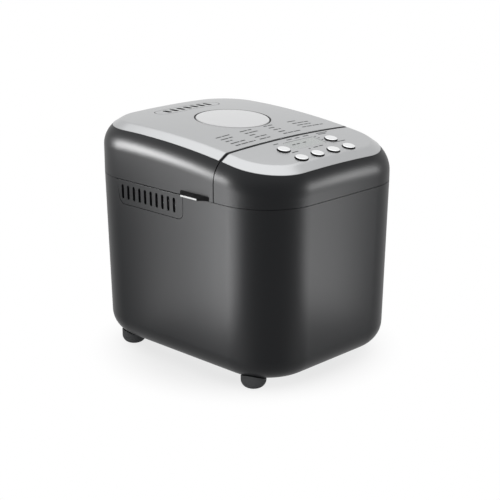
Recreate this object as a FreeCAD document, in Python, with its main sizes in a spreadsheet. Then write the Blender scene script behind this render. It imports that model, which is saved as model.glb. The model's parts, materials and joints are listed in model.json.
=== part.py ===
import FreeCAD, Part
import math
import os
import re

import Sketcher

# Driving dimensions in millimetres. The machine stands on z = 0, its front faces -Y and x = 0 is its middle.
SIZES = {
    # outer form
    "body_width": 258, "body_depth": 326, "corner_radius": 70, "seam_height": 227, "wall": 2.5,
    "tub_bottom": 12.5, "tub_taper": 4, "bottom_round": 28,
    "crown_y": 90, "crown_height": 296, "crown_radius": 1160, "shoulder_radius": 34,
    "split_forward": 75, "split_gap": 1.3, "seam_gap": 0.5,
    "rim_inset": 11.7, "plate_thickness": 1.5, "plate_setback": 1.6,
    # feet and base
    "foot_radius": 15.5, "foot_spread_x": 97, "foot_spread_y": 108, "foot_round": 10, "foot_rise": 30,
    "base_flange": 8, "base_overlap": 6, "base_thickness": 2.5, "base_slot_width": 4, "base_slot_length": 50,
    "screw_radius": 1.5, "screw_head_radius": 3, "screw_head_height": 1.5, "screw_length": 6,
    "screw_spread_y": 55, "hole_clearance": 0.1,
    # side vents
    "vent_front": -23, "vent_rear": 92, "vent_drop": 31, "vent_corner": 9, "vent_slot_width": 3.2,
    "vent_slot_height": 17.5, "vent_slot_rise": 7, "vent_slot_pitch": 10.3, "vent_slot_first": -5,
    # hinge
    "hinge_inset": 3.5, "hinge_rise": 2.5, "knuckle_radius": 3.4, "pin_radius": 1.5, "lug_x": 40,
    "lug_length": 16, "lug_gap": 0.5, "knuckle_length": 5.5, "hinge_relief": 1.8, "relief_half": 86,
    "notch_rise": 5.5, "running_clearance": 0.05, "liner_hinge_room": 9.5,
    # deck and oven
    "deck_top": 219, "deck_thickness": 3, "oven_width": 190, "oven_depth": 176, "oven_corner": 20,
    "oven_y": 34, "oven_floor": 62, "sheet": 1.2, "oven_flange": 9,
    "heater_radius": 3.25, "heater_gap": 8, "heater_corner": 24, "heater_height": 78, "terminal_x": 14,
    "terminal_length": 24, "sensor_radius": 3, "sensor_x": 55, "sensor_height": 150, "sensor_length": 20,
    # lid
    "liner_height": 228, "liner_thickness": 2, "dome_width": 176, "dome_depth": 144, "dome_corner": 24,
    "roof_drop": 30.5, "seal_offset": 2, "seal_width": 7, "seal_gap": 0.4,
    "boss_radius": 4, "boss_front_x": 112, "boss_front_y": -50, "boss_rear_x": 106, "boss_rear_inset": 41,
    "window_y": 22, "window_radius": 48, "window_hole": 45, "lens_radius": 46.4, "window_ledge": 42,
    "ring_height": 0.4, "ring_depth": 6, "lens_rise": 1.6, "lens_depth": 1,
    "glass_radius": 46, "glass_thickness": 3, "glass_opening": 42,
    "grille_y": 104, "grille_length": 106, "grille_width": 25, "grille_corner": 11.4,
    "grille_slot_length": 18, "grille_slot_width": 3.5, "grille_slot_pitch": 12.9,
    "tab_front": -69, "tab_rear": -18, "tab_reach": 8.5, "tab_height": 5.5,
    "tab_front_slant": 13, "tab_rear_slant": 9,
    # control panel
    "panel_y": -118, "row_lower": -13.7, "row_upper": 14.7, "button_inner_x": 14.2, "button_outer_x": 42.1,
    "button_radius": 7.6, "button_hole_gap": 0.35, "button_rise": 2.5, "button_flange_radius": 9.2,
    "button_flange_top": 5.9, "button_flange_thickness": 1.6, "button_stem_radius": 2, "button_travel": 1.2,
    "display_width": 40, "display_depth": 25, "display_corner": 2, "display_ledge": 2,
    "board_depth": 14.4, "board_thickness": 1.6, "board_width": 120, "board_length": 54, "switch_side": 6,
    "switch_height": 4, "switch_tip": 1, "switch_tip_radius": 1.7, "switch_gap": 0.1,
    "post_radius": 3, "post_x": 55, "post_v": 22, "module_margin": 3, "module_gap": 0.4,
    # pan, paddle and handle
    "pan_width": 136, "pan_depth": 112, "pan_corner": 12, "pan_wall": 1.5, "pan_floor": 82, "pan_rim": 196,
    "rim_width": 3, "rim_thickness": 1.5, "foot_ring_radius": 38.6, "foot_ring_wall": 2.6, "seat_wall": 2.8,
    "seat_plate": 2.8, "seat_rise": 11, "seat_gap": 0.3, "seat_fit": 0.6,
    "stud_radius": 3, "stud_drop": 8, "stud_reach": 10, "eye_gap": 2, "eye_radius": 6, "eye_thickness": 5,
    "bail_radius": 2, "bail_reach": 62, "bail_bend": 12,
    "pan_shaft_radius": 4, "pan_bush_radius": 10, "pan_bush_drop": 5.6, "pan_bush_rise": 8,
    "paddle_hub_radius": 9, "paddle_gap": 0.6, "paddle_hub_height": 17, "blade_reach": 46, "blade_rise": 30,
    "blade_thickness": 6, "blade_tip": 20,
    # drive
    "drive_radius": 5, "drive_bottom": 22, "bush_radius": 8, "bush_rise": 2.8, "bearing_radius": 13,
    "bearing_flange": 30, "bearing_flange_thickness": 3, "bearing_drop": 22, "bush_overhang": 1,
    "coupling_radius": 14, "coupling_gap": 0.4, "coupling_thickness": 3.6, "dog_height": 6, "dog_width": 5,
    "dog_near": 4, "dog_far": 11, "dog_play": 0.4,
    "wing_half_width": 3, "wing_half_length": 12, "wing_lift": 0.8, "wing_thickness": 5.2,
    "pulley_bottom": 24, "pulley_height": 12, "driven_radius": 42, "motor_pulley_radius": 9,
    "belt_thickness": 2.5, "belt_clearance": 0.3, "belt_inset": 2,
    "motor_inset": 51, "motor_radius": 35, "motor_height": 60, "bracket_height": 40, "bracket_thickness": 3,
    "bracket_width": 90, "bracket_depth": 76, "bracket_corner": 8, "leg_radius": 5, "leg_x": 38, "leg_y": 10,
    "motor_shaft_radius": 4, "rotor_radius": 20, "rotor_gap": 0.4, "rotor_rise": 12, "rotor_height": 37,
    "shaft_overhang": 5, "bracket_hole": 7,
    # power board and cord inlet
    "power_x": 50, "power_inset": 37, "power_width": 36, "power_depth": 46, "standoff_height": 5,
    "relay_height": 16, "capacitor_radius": 6, "capacitor_height": 20, "capacitor_spread": 7.2,
    "inlet_x": 60, "inlet_height": 48, "inlet_radius": 6, "inlet_flange": 9,
    "inlet_bore": 3.6, "inlet_depth": 12, "inlet_proud": 2.5,
}

# Places that follow from the driving dimensions.
FORMULAS = {
    "split_y": "-split_forward",
    "lid_front": "split_y + split_gap",
    "lid_low": "seam_height + seam_gap",
    "hinge_y": "body_depth/2 - hinge_inset",
    "hinge_z": "seam_height + hinge_rise",
    "deck_low": "deck_top - deck_thickness",
    "flange_top": "deck_top + sheet",
    "oven_inside": "oven_floor + sheet",
    "base_low": "tub_bottom + wall",
    "base_top": "base_low + base_thickness",
    "tub_flat_inset": "tub_taper + bottom_round",
    "panel_tilt": "asin((crown_y - panel_y)/crown_radius)",
    "panel_z": "crown_height - crown_radius + sqrt(crown_radius^2 - (crown_y - panel_y)^2)",
    "window_tilt": "asin((crown_y - window_y)/crown_radius)",
    "window_z": "crown_height - crown_radius + sqrt(crown_radius^2 - (crown_y - window_y)^2)",
    "dome_roof": "crown_height - roof_drop",
    "boss_rear_y": "body_depth/2 - boss_rear_inset",
    "motor_y": "motor_inset - body_depth/2",
    "power_y": "power_inset - body_depth/2",
    "stud_z": "pan_rim - stud_drop",
    "eye_start": "pan_width/2 + rim_width + eye_gap",
    "coupling_low": "oven_inside + bush_rise + coupling_gap",
    "coupling_top": "coupling_low + coupling_thickness",
    "wing_low": "coupling_top + wing_lift",
    "paddle_low": "pan_floor + pan_bush_rise + paddle_gap",
    "motor_low": "bracket_height + bracket_thickness",
    "rotor_low": "motor_low + rotor_rise",
    "stem_low": "-(board_depth - switch_height - switch_tip - button_travel - switch_gap)",
    "seat_top": "oven_inside + seat_plate",
    "board_top": "base_top + standoff_height",
}

X_AXIS = FreeCAD.Vector(1, 0, 0)
Y_AXIS = FreeCAD.Vector(0, 1, 0)
Z_AXIS = FreeCAD.Vector(0, 0, 1)
WORD = re.compile(r"[a-z][a-z_]*")
SIDES = (("left", -1), ("right", 1))
GRILLE_SLOTS = 7
BEYOND = 5  # how far a cutting tool runs past the face that it cuts

doc = FreeCAD.newDocument("bread_machine")
sheet = doc.addObject("Spreadsheet::Sheet", "dims")
for row, (alias, size) in enumerate(SIZES.items(), start=1):
    sheet.set(f"A{row}", alias)
    sheet.set(f"B{row}", str(size))
    sheet.setAlias(f"B{row}", alias)
doc.recompute()
parts = {}


def ref(text):
    """Write out a formula so that every size in it points at its cell of the sheet."""
    def swap(found):
        word = found.group()
        if word in SIZES:
            return f"dims.{word}"
        if word in FORMULAS:
            return f"({ref(FORMULAS[word])})"
        return word
    return WORD.sub(swap, str(text))


def val(text):
    """Value of a formula now, as a plain number."""
    found = sheet.evalExpression(ref(text))
    return float(getattr(found, "Value", found))


def bind(item, formulas):
    for path, text in formulas.items():
        item.setExpression(path, ref(text))
    return item


def place(item, x="0", y="0", z="0", axis=None, angle="0"):
    if axis is not None:
        item.Placement = FreeCAD.Placement(FreeCAD.Vector(), FreeCAD.Rotation(axis, val(angle)))
    return bind(item, {"Placement.Base.x": x, "Placement.Base.y": y, "Placement.Base.z": z})


def box(name, x, y, z):
    """Block between two values on each axis."""
    made = doc.addObject("Part::Box", name)
    for path, (low, high) in (("Length", x), ("Width", y), ("Height", z)):
        bind(made, {path: f"({high}) - ({low})"})
    return place(made, x[0], y[0], z[0])


def cylinder(name, radius, x, y, z):
    """Upright cylinder between two heights."""
    made = bind(doc.addObject("Part::Cylinder", name), {"Radius": radius, "Height": f"({z[1]}) - ({z[0]})"})
    return place(made, x, y, z[0])


def rod_x(name, radius, x, y, z):
    """Cylinder lying along X between two values."""
    made = bind(doc.addObject("Part::Cylinder", name), {"Radius": radius, "Height": f"({x[1]}) - ({x[0]})"})
    return place(made, x[0], y, z, Y_AXIS, "90")


def rod_y(name, radius, x, y, z):
    """Cylinder lying along Y between two values."""
    made = bind(doc.addObject("Part::Cylinder", name), {"Radius": radius, "Height": f"({y[1]}) - ({y[0]})"})
    return place(made, x, y[0], z, X_AXIS, "-90")


def fuse(name, *pieces):
    made = doc.addObject("Part::MultiFuse", name)
    made.Shapes = list(pieces)
    made.Refine = True
    return made


def cut(name, base, *tools):
    made = doc.addObject("Part::Cut", name)
    made.Base = base
    made.Tool = tools[0] if len(tools) == 1 else fuse(f"{name}_tools", *tools)
    made.Refine = True
    return made


def common(name, *pieces):
    made = doc.addObject("Part::MultiCommon", name)
    made.Shapes = list(pieces)
    made.Refine = True
    return made


def group(name, *pieces):
    made = doc.addObject("Part::Compound", name)
    made.Links = list(pieces)
    return made


def keep(label, item):
    """Take a finished object as a sub-part under its own label."""
    item.Label = label
    parts[label] = item
    return item


def new_body(name):
    return doc.addObject("PartDesign::Body", name)


def sketch_on(body, plane, x="0", y="0", z="0"):
    """Sketch on one of the body's own planes, moved by an offset in the sketch's own directions."""
    made = body.newObject("Sketcher::SketchObject", f"{body.Name}_sketch")
    support = next(item for item in body.Origin.OriginFeatures if item.Role == plane)
    made.AttachmentSupport = (support, [""])
    made.MapMode = "FlatFace"
    return bind(made, {f"AttachmentOffset.Base.{axis}": text for axis, text in zip("xyz", (x, y, z))})


def dimension(sketch, kind, places, text):
    """Add a driving dimension to a sketch and bind it to a formula."""
    index = sketch.addConstraint(Sketcher.Constraint(kind, *places, val(text)))
    sketch.setExpression(f"Constraints[{index}]", ref(text))


def rounded_rectangle(sketch, width, depth, radius):
    """Rectangle round the sketch's origin, with its corners as tangent arcs."""
    half_x = val(width) / 2
    half_y = val(depth) / 2
    r = val(radius)
    arcs = []
    corners = ((1, -1, -90), (1, 1, 0), (-1, 1, 90), (-1, -1, 180))
    for side_x, side_y, start in corners:
        centre = FreeCAD.Vector(side_x * (half_x - r), side_y * (half_y - r), 0)
        arc = Part.ArcOfCircle(Part.Circle(centre, Z_AXIS, r), math.radians(start), math.radians(start + 90))
        arcs.append(sketch.addGeometry(arc))
    lines = []
    for number in range(4):
        start = sketch.Geometry[arcs[number]].EndPoint
        end = sketch.Geometry[arcs[(number + 1) % 4]].StartPoint
        lines.append(sketch.addGeometry(Part.LineSegment(start, end)))
    for number in range(4):
        following = arcs[(number + 1) % 4]
        sketch.addConstraint(Sketcher.Constraint("Tangent", arcs[number], 2, lines[number], 1))
        sketch.addConstraint(Sketcher.Constraint("Tangent", lines[number], 2, following, 1))
        direction = "Vertical" if number % 2 == 0 else "Horizontal"
        sketch.addConstraint(Sketcher.Constraint(direction, lines[number]))
    for number in (1, 2, 3):
        sketch.addConstraint(Sketcher.Constraint("Equal", arcs[0], arcs[number]))
    dimension(sketch, "Radius", (arcs[0],), radius)
    dimension(sketch, "DistanceX", (-1, 1, lines[0], 1), f"({width})/2")
    dimension(sketch, "DistanceX", (-1, 1, lines[2], 1), f"-({width})/2")
    dimension(sketch, "DistanceY", (-1, 1, lines[1], 1), f"({depth})/2")
    dimension(sketch, "DistanceY", (-1, 1, lines[3], 1), f"-({depth})/2")


def polygon(sketch, points):
    """Closed outline with straight edges, each corner held by its two coordinates."""
    corners = [FreeCAD.Vector(val(x), val(y), 0) for x, y in points]
    lines = []
    for number, start in enumerate(corners):
        end = corners[(number + 1) % len(corners)]
        lines.append(sketch.addGeometry(Part.LineSegment(start, end)))
    for number, (x, y) in enumerate(points):
        following = lines[(number + 1) % len(lines)]
        sketch.addConstraint(Sketcher.Constraint("Coincident", lines[number], 2, following, 1))
        dimension(sketch, "DistanceX", (-1, 1, lines[number], 1), x)
        dimension(sketch, "DistanceY", (-1, 1, lines[number], 1), y)


def pad(body, sketch, length):
    made = body.newObject("PartDesign::Pad", f"{body.Name}_pad")
    made.Profile = sketch
    return bind(made, {"Length": length})


def rounded_block(name, width, depth, radius, z, x="0", y="0"):
    """Upright block with rounded corners, centred on x and y, between two heights."""
    body = new_body(name)
    outline = sketch_on(body, "XY_Plane", x, y, z[0])
    rounded_rectangle(outline, width, depth, radius)
    pad(body, outline, f"({z[1]}) - ({z[0]})")
    return body


def rounded_ring(name, width, depth, radius, band, z, x="0", y="0"):
    """Upright wall of one thickness round a rounded rectangle, which is its inner outline."""
    body = new_body(name)
    outline = sketch_on(body, "XY_Plane", x, y, z[0])
    rounded_rectangle(outline, f"({width}) + 2*({band})", f"({depth}) + 2*({band})", f"({radius}) + ({band})")
    rounded_rectangle(outline, width, depth, radius)
    pad(body, outline, f"({z[1]}) - ({z[0]})")
    return body


def edges_of_face(feature, face):
    """Names of the feature's edges that bound one of its faces."""
    edges = enumerate(feature.Shape.Edges, start=1)
    return [f"Edge{number}" for number, edge in edges if any(edge.isSame(other) for other in face.Edges)]


def round_face(body, feature, face, radius):
    made = body.newObject("PartDesign::Fillet", f"{body.Name}_round")
    made.Base = (feature, edges_of_face(feature, face))
    return bind(made, {"Radius": radius})


def lower_form(name, inset):
    """Closed form of the tub, drawn in by a distance: it widens upwards and has a rounded bottom edge."""
    body = new_body(name)
    top = sketch_on(body, "XY_Plane", z="seam_height")
    rounded_rectangle(top, f"body_width - 2*{inset}", f"body_depth - 2*{inset}", f"corner_radius - {inset}")
    bottom = sketch_on(body, "XY_Plane", z=f"tub_bottom + {inset}")
    narrow = f"2*tub_taper - 2*{inset}"
    rounded_rectangle(bottom, f"body_width - {narrow}", f"body_depth - {narrow}",
                      f"corner_radius - tub_taper - {inset}")
    loft = body.newObject("PartDesign::AdditiveLoft", f"{name}_loft")
    loft.Profile = top
    loft.Sections = [bottom]
    doc.recompute()
    floor = min(loft.Shape.Faces, key=lambda face: face.CenterOfMass.z)
    round_face(body, loft, floor, f"bottom_round - {inset}")
    return body


def upper_form(name, inset):
    """Closed form of the top, drawn in by a distance: upright walls, an arched top and a round shoulder."""
    body = new_body(name)
    outline = sketch_on(body, "XY_Plane", z="seam_height")
    rounded_rectangle(outline, f"body_width - 2*{inset}", f"body_depth - 2*{inset}",
                      f"corner_radius - {inset}")
    pad(body, outline, "crown_height - seam_height + shoulder_radius")
    above = sketch_on(body, "YZ_Plane")
    crown_arch(above, inset)
    pocket = body.newObject("PartDesign::Pocket", f"{name}_crown")
    pocket.Profile = above
    pocket.Type = "ThroughAll"
    pocket.SideType = "Symmetric"
    doc.recompute()
    top = max(pocket.Shape.Faces, key=lambda face: face.CenterOfMass.z)
    round_face(body, pocket, top, f"shoulder_radius - {inset}")
    return body


def crown_arch(sketch, inset):
    """Region above the top's long arc, seen from the side."""
    radius = f"crown_radius - {inset}"
    centre = FreeCAD.Vector(val("crown_y"), val("crown_height - crown_radius"), 0)
    r = val(radius)
    ends = []
    for reach in (val("body_depth"), -val("body_depth")):
        ends.append(math.atan2(math.sqrt(r * r - (reach - centre.x) ** 2), reach - centre.x))
    arc = sketch.addGeometry(Part.ArcOfCircle(Part.Circle(centre, Z_AXIS, r), ends[0], ends[1]))
    top = val("crown_height + 2*shoulder_radius")
    rear = sketch.Geometry[arc].StartPoint
    front = sketch.Geometry[arc].EndPoint
    rear_top = FreeCAD.Vector(rear.x, top, 0)
    front_top = FreeCAD.Vector(front.x, top, 0)
    front_line = sketch.addGeometry(Part.LineSegment(front, front_top))
    top_line = sketch.addGeometry(Part.LineSegment(front_top, rear_top))
    rear_line = sketch.addGeometry(Part.LineSegment(rear_top, rear))
    chain = ((arc, 2, front_line, 1), (front_line, 2, top_line, 1), (top_line, 2, rear_line, 1),
             (rear_line, 2, arc, 1))
    for joint in chain:
        sketch.addConstraint(Sketcher.Constraint("Coincident", *joint))
    sketch.addConstraint(Sketcher.Constraint("Vertical", front_line))
    sketch.addConstraint(Sketcher.Constraint("Vertical", rear_line))
    sketch.addConstraint(Sketcher.Constraint("Horizontal", top_line))
    dimension(sketch, "Radius", (arc,), radius)
    dimension(sketch, "DistanceX", (-1, 1, arc, 3), "crown_y")
    dimension(sketch, "DistanceY", (-1, 1, arc, 3), "crown_height - crown_radius")
    dimension(sketch, "DistanceX", (-1, 1, arc, 1), "body_depth")
    dimension(sketch, "DistanceX", (-1, 1, arc, 2), "-body_depth")
    dimension(sketch, "DistanceY", (-1, 1, top_line, 1), "crown_height + 2*shoulder_radius")


def on_panel(item, x, along, above):
    """Set an object on the sloping control panel: along runs up it, above stands square to it."""
    y = f"panel_y + ({along})*cos(panel_tilt) - ({above})*sin(panel_tilt)"
    z = f"panel_z + ({along})*sin(panel_tilt) + ({above})*cos(panel_tilt)"
    return place(item, x, y, z, X_AXIS, "panel_tilt")


def panel_disc(name, radius, x, along, low, high):
    made = bind(doc.addObject("Part::Cylinder", name), {"Radius": radius, "Height": f"({high}) - ({low})"})
    return on_panel(made, x, along, low)


def panel_block(name, width, depth, radius, x, along, low, high):
    made = rounded_block(name, width, depth, radius, ("0", f"({high}) - ({low})"))
    return on_panel(made, x, along, low)


def window_disc(name, radius, low, high):
    """Disc square to the lid's top at the middle of the viewing window."""
    made = bind(doc.addObject("Part::Cylinder", name), {"Radius": radius, "Height": f"({high}) - ({low})"})
    y = f"window_y - ({low})*sin(window_tilt)"
    z = f"window_z + ({low})*cos(window_tilt)"
    return place(made, "0", y, z, X_AXIS, "window_tilt")


# Outer form: the closed shapes that the casing's pieces are cut from.
tub_outside = lower_form("tub_outside", "0")
tub_inside = lower_form("tub_inside", "wall")
top_outside = upper_form("top_outside", "0")
top_inside = upper_form("top_inside", "wall")
top_under_plate = upper_form("top_under_plate", "plate_thickness")
tub_skin = cut("tub_skin", tub_outside, tub_inside)
top_skin = cut("top_skin", top_outside, top_inside)
plate_skin = cut("plate_skin", top_outside, top_under_plate)
plate_outline = rounded_block("plate_outline", "body_width - 2*rim_inset", "body_depth - 2*rim_inset",
                              "corner_radius - rim_inset", ("seam_height", "crown_height + shoulder_radius"))
ACROSS = (f"-body_width/2 - {BEYOND}", f"body_width/2 + {BEYOND}")
ABOVE_TOP = "crown_height + shoulder_radius"
FRONT_END = f"-body_depth/2 - {BEYOND}"
REAR_END = f"body_depth/2 + {BEYOND}"
BUTTONS = {
    "button_menu": ("-button_outer_x", "row_upper"), "button_start": ("button_outer_x", "row_upper"),
    "button_loaf": ("-button_outer_x", "row_lower"), "button_colour": ("-button_inner_x", "row_lower"),
    "button_time_down": ("button_inner_x", "row_lower"), "button_time_up": ("button_outer_x", "row_lower"),
}


def vent_outline(side, sign):
    """Block through the tub's wall in the outline of one side vent, with its lower corners rounded."""
    body = new_body(f"vent_outline_{side}")
    start = f"{sign}*(body_width/2) - {BEYOND} - wall"
    outline = sketch_on(body, "YZ_Plane", "(vent_front + vent_rear)/2", "seam_height", start)
    rounded_rectangle(outline, "vent_rear - vent_front", "2*vent_drop", "vent_corner")
    pad(body, outline, f"2*({BEYOND} + wall)")
    return body


def side_vent(side, sign, outline):
    """Slotted insert that fills its cut-out in the tub's wall."""
    middle = f"{sign}*body_width/2"
    count = int((val("vent_rear") - val("vent_slot_first")) / val("vent_slot_pitch")) + 1
    slots = []
    for number in range(count):
        y = f"vent_slot_first + {number}*vent_slot_pitch"
        low = "seam_height - vent_drop + vent_slot_rise"
        slots.append(box(f"vent_slot_{side}", (f"{middle} - 2*wall - {BEYOND}", f"{middle} + {BEYOND}"),
                         (f"{y} - vent_slot_width/2", f"{y} + vent_slot_width/2"),
                         (low, f"{low} + vent_slot_height")))
    insert = common(f"vent_insert_{side}", tub_skin, outline)
    keep(f"side_vent_{side}", cut(f"vent_{side}", insert, *slots))


def screw_places():
    """Middles of the screws that hold the base plate to the tub's bottom flange."""
    x = "body_width/2 - tub_flat_inset - base_flange + base_overlap/2"
    y = "body_depth/2 - tub_flat_inset - base_flange + base_overlap/2"
    places = [(f"{sign_x}*({x})", f"{sign_y}*screw_spread_y") for sign_x in (-1, 1) for sign_y in (-1, 1)]
    return places + [("0", f"-({y})"), ("0", y)]


def outer_tub(vents):
    inset = "2*(tub_flat_inset + base_flange)"
    opening = rounded_block("base_opening", f"body_width - {inset}", f"body_depth - {inset}",
                            "corner_radius - tub_flat_inset - base_flange",
                            (f"tub_bottom - {BEYOND}", f"base_low + {BEYOND}"))
    relief = box("hinge_relief_space", ("-relief_half", "relief_half"), ("oven_y + oven_depth/2", REAR_END),
                 ("seam_height - hinge_relief", f"seam_height + {BEYOND}"))
    inlet = rod_y("inlet_hole", "inlet_radius", "inlet_x", ("body_depth/2 - 2*inlet_depth", REAR_END),
                  "inlet_height")
    holes = [cylinder("tub_screw_hole", "screw_radius + hole_clearance", x, y,
                      (f"tub_bottom - {BEYOND}", f"base_low + {BEYOND}")) for x, y in screw_places()]
    keep("outer_tub", cut("tub", tub_skin, opening, relief, inlet, *vents, *holes))


def base_plate():
    inset = "2*(tub_flat_inset + base_flange - base_overlap)"
    plate = rounded_block("base_sheet", f"body_width - {inset}", f"body_depth - {inset}",
                          "corner_radius - tub_flat_inset - base_flange + base_overlap",
                          ("base_low", "base_top"))
    through = (f"base_low - {BEYOND}", f"base_top + {BEYOND}")
    tools = [cylinder("base_screw_hole", "screw_radius + hole_clearance", x, y, through)
             for x, y in screw_places()]
    for number in range(-3, 4):
        x = f"{number}*3*base_slot_width"
        tools.append(box("base_slot", (f"{x} - base_slot_width/2", f"{x} + base_slot_width/2"),
                         ("oven_y", "oven_y + base_slot_length"), through))
    keep("base_plate", cut("base", plate, *tools))


def base_screws():
    screws = []
    for x, y in screw_places():
        head = cylinder("screw_head", "screw_head_radius", x, y,
                        ("tub_bottom - screw_head_height", "tub_bottom"))
        shank = cylinder("screw_shank", "screw_radius", x, y, ("tub_bottom", "tub_bottom + screw_length"))
        screws.append(fuse("screw", head, shank))
    keep("base_screws", group("screws", *screws))


def feet():
    """Round feet with rolled bottom edges, shaped on top to the tub's rounded bottom."""
    for end, sign_y in (("front", -1), ("rear", 1)):
        for side, sign_x in SIDES:
            body = new_body(f"foot_form_{end}_{side}")
            outline = sketch_on(body, "XY_Plane", f"{sign_x}*foot_spread_x", f"{sign_y}*foot_spread_y")
            ring = outline.addGeometry(Part.Circle(FreeCAD.Vector(), Z_AXIS, val("foot_radius")))
            outline.addConstraint(Sketcher.Constraint("Coincident", ring, 3, -1, 1))
            dimension(outline, "Radius", (ring,), "foot_radius")
            column = pad(body, outline, "foot_rise")
            doc.recompute()
            bottom = min(column.Shape.Faces, key=lambda face: face.CenterOfMass.z)
            round_face(body, column, bottom, "foot_round")
            keep(f"foot_{end}_{side}", cut(f"foot_{end}_{side}_trimmed", body, tub_outside))


def fascia_tools():
    """Openings through the control panel: one for each button and one for the display."""
    tools = []
    for name, (x, along) in BUTTONS.items():
        tools.append(panel_disc(f"{name}_hole", "button_radius + button_hole_gap", x, along,
                                f"-2*wall - {BEYOND}", f"{BEYOND}"))
    return tools


def front_housing_and_fascia():
    region = box("front_region", ACROSS, (FRONT_END, "split_y"), ("seam_height", ABOVE_TOP))
    plate_region = box("fascia_region", ACROSS, (FRONT_END, "split_y - plate_setback"),
                       ("seam_height", ABOVE_TOP))
    raw_fascia = common("fascia_sheet", plate_skin, plate_outline, plate_region)
    window = panel_block("display_window", "display_width", "display_depth", "display_corner", "0",
                         "row_upper",
                         f"-2*wall - {BEYOND}", f"{BEYOND}")
    ledge_width = "display_width - 2*display_ledge"
    ledge_depth = "display_depth - 2*display_ledge"
    ledge = panel_block("display_ledge_hole", ledge_width, ledge_depth, "display_corner", "0", "row_upper",
                        f"-2*wall - {BEYOND}", f"{BEYOND}")
    holes = fascia_tools()
    shell = common("front_shell", top_skin, region)
    rear_wall = common("front_rear_wall", top_outside,
                       box("rear_wall_slab", ACROSS, ("split_y - wall", "split_y"),
                           ("seam_height", ABOVE_TOP)))
    rear_foot = common("front_rear_foot", tub_inside,
                       box("rear_foot_slab", ACROSS, ("split_y - wall", "split_y"),
                           ("deck_top", "seam_height")))
    posts = []
    for sign_x in (-1, 1):
        for sign_v in (-1, 1):
            post = panel_disc("board_post", "post_radius", f"{sign_x}*post_x", f"{sign_v}*post_v",
                              "-board_depth", "0")
            posts.append(common("board_post_trimmed", post, top_inside))
    body = fuse("front_body", shell, rear_wall, rear_foot, *posts)
    keep("front_housing", cut("front", body, raw_fascia, ledge, *holes))
    keep("control_fascia", cut("fascia", raw_fascia, window, *holes))
    lens = panel_block("lens_block", "display_width", "display_depth", "display_corner", "0", "row_upper",
                       f"-2*wall - {BEYOND}", f"{BEYOND}")
    keep("display_lens", common("lens", plate_skin, lens))


def control_electronics():
    board = panel_block("board", "board_width", "board_length", "display_corner", "0", "0",
                        "-board_depth - board_thickness", "-board_depth")
    keep("control_board", board)
    module = panel_block("module", "display_width - 2*display_ledge + 2*module_margin",
                         "display_depth - 2*display_ledge", "display_corner", "0", "row_upper",
                         "-board_depth", "-wall - module_gap")
    keep("display_module", module)
    switches = []
    for name, (x, along) in BUTTONS.items():
        case = panel_block(f"{name}_switch", "switch_side", "switch_side", "switch_tip", x, along,
                           "-board_depth", "-board_depth + switch_height")
        tip = panel_disc(f"{name}_tip", "switch_tip_radius", x, along, "-board_depth + switch_height",
                         "-board_depth + switch_height + switch_tip")
        switches.append(fuse(f"{name}_switch_whole", case, tip))
    keep("tact_switches", group("switches", *switches))


def buttons():
    """Push buttons: a cap that stands proud, a flange that keeps it in and a stem over its switch."""
    for name, (x, along) in BUTTONS.items():
        cap = panel_disc(f"{name}_cap", "button_radius", x, along, "-button_flange_top", "button_rise")
        flange = panel_disc(f"{name}_flange", "button_flange_radius", x, along,
                            "-button_flange_top - button_flange_thickness", "-button_flange_top")
        stem = panel_disc(f"{name}_stem", "button_stem_radius", x, along, "stem_low", "-button_flange_top")
        keep(name, fuse(f"{name}_whole", cap, flange, stem))


def deck():
    """Inner frame round the oven mouth, with the two hinge lugs at its rear."""
    slab = common("deck_slab", tub_inside,
                  box("deck_level", ACROSS, ("split_y - wall", REAR_END), ("deck_low", "deck_top")))
    mouth = rounded_block("deck_mouth", "oven_width + 2*sheet", "oven_depth + 2*sheet", "oven_corner + sheet",
                          (f"deck_low - {BEYOND}", f"deck_top + {BEYOND}"), y="oven_y")
    lugs = []
    bores = []
    for side, sign in SIDES:
        low = f"{sign}*lug_x - lug_length/2"
        high = f"{sign}*lug_x + lug_length/2"
        lugs.append(box(f"lug_web_{side}", (low, high), ("hinge_y - knuckle_radius", "hinge_y"),
                        ("deck_top", "hinge_z")))
        lugs.append(rod_x(f"lug_{side}", "knuckle_radius", (low, high), "hinge_y", "hinge_z"))
        bores.append(rod_x(f"lug_bore_{side}", "pin_radius", (f"{low} - {BEYOND}", f"{high} + {BEYOND}"),
                           "hinge_y", "hinge_z"))
        reach = "lug_length/2 + lug_gap + knuckle_length"
        keep(f"hinge_pin_{side}", rod_x(f"pin_{side}", "pin_radius",
                                        (f"{sign}*lug_x - ({reach})", f"{sign}*lug_x + {reach}"),
                                        "hinge_y", "hinge_z"))
    keep("deck", cut("deck_whole", fuse("deck_body", slab, *lugs), mouth, *bores))


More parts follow.
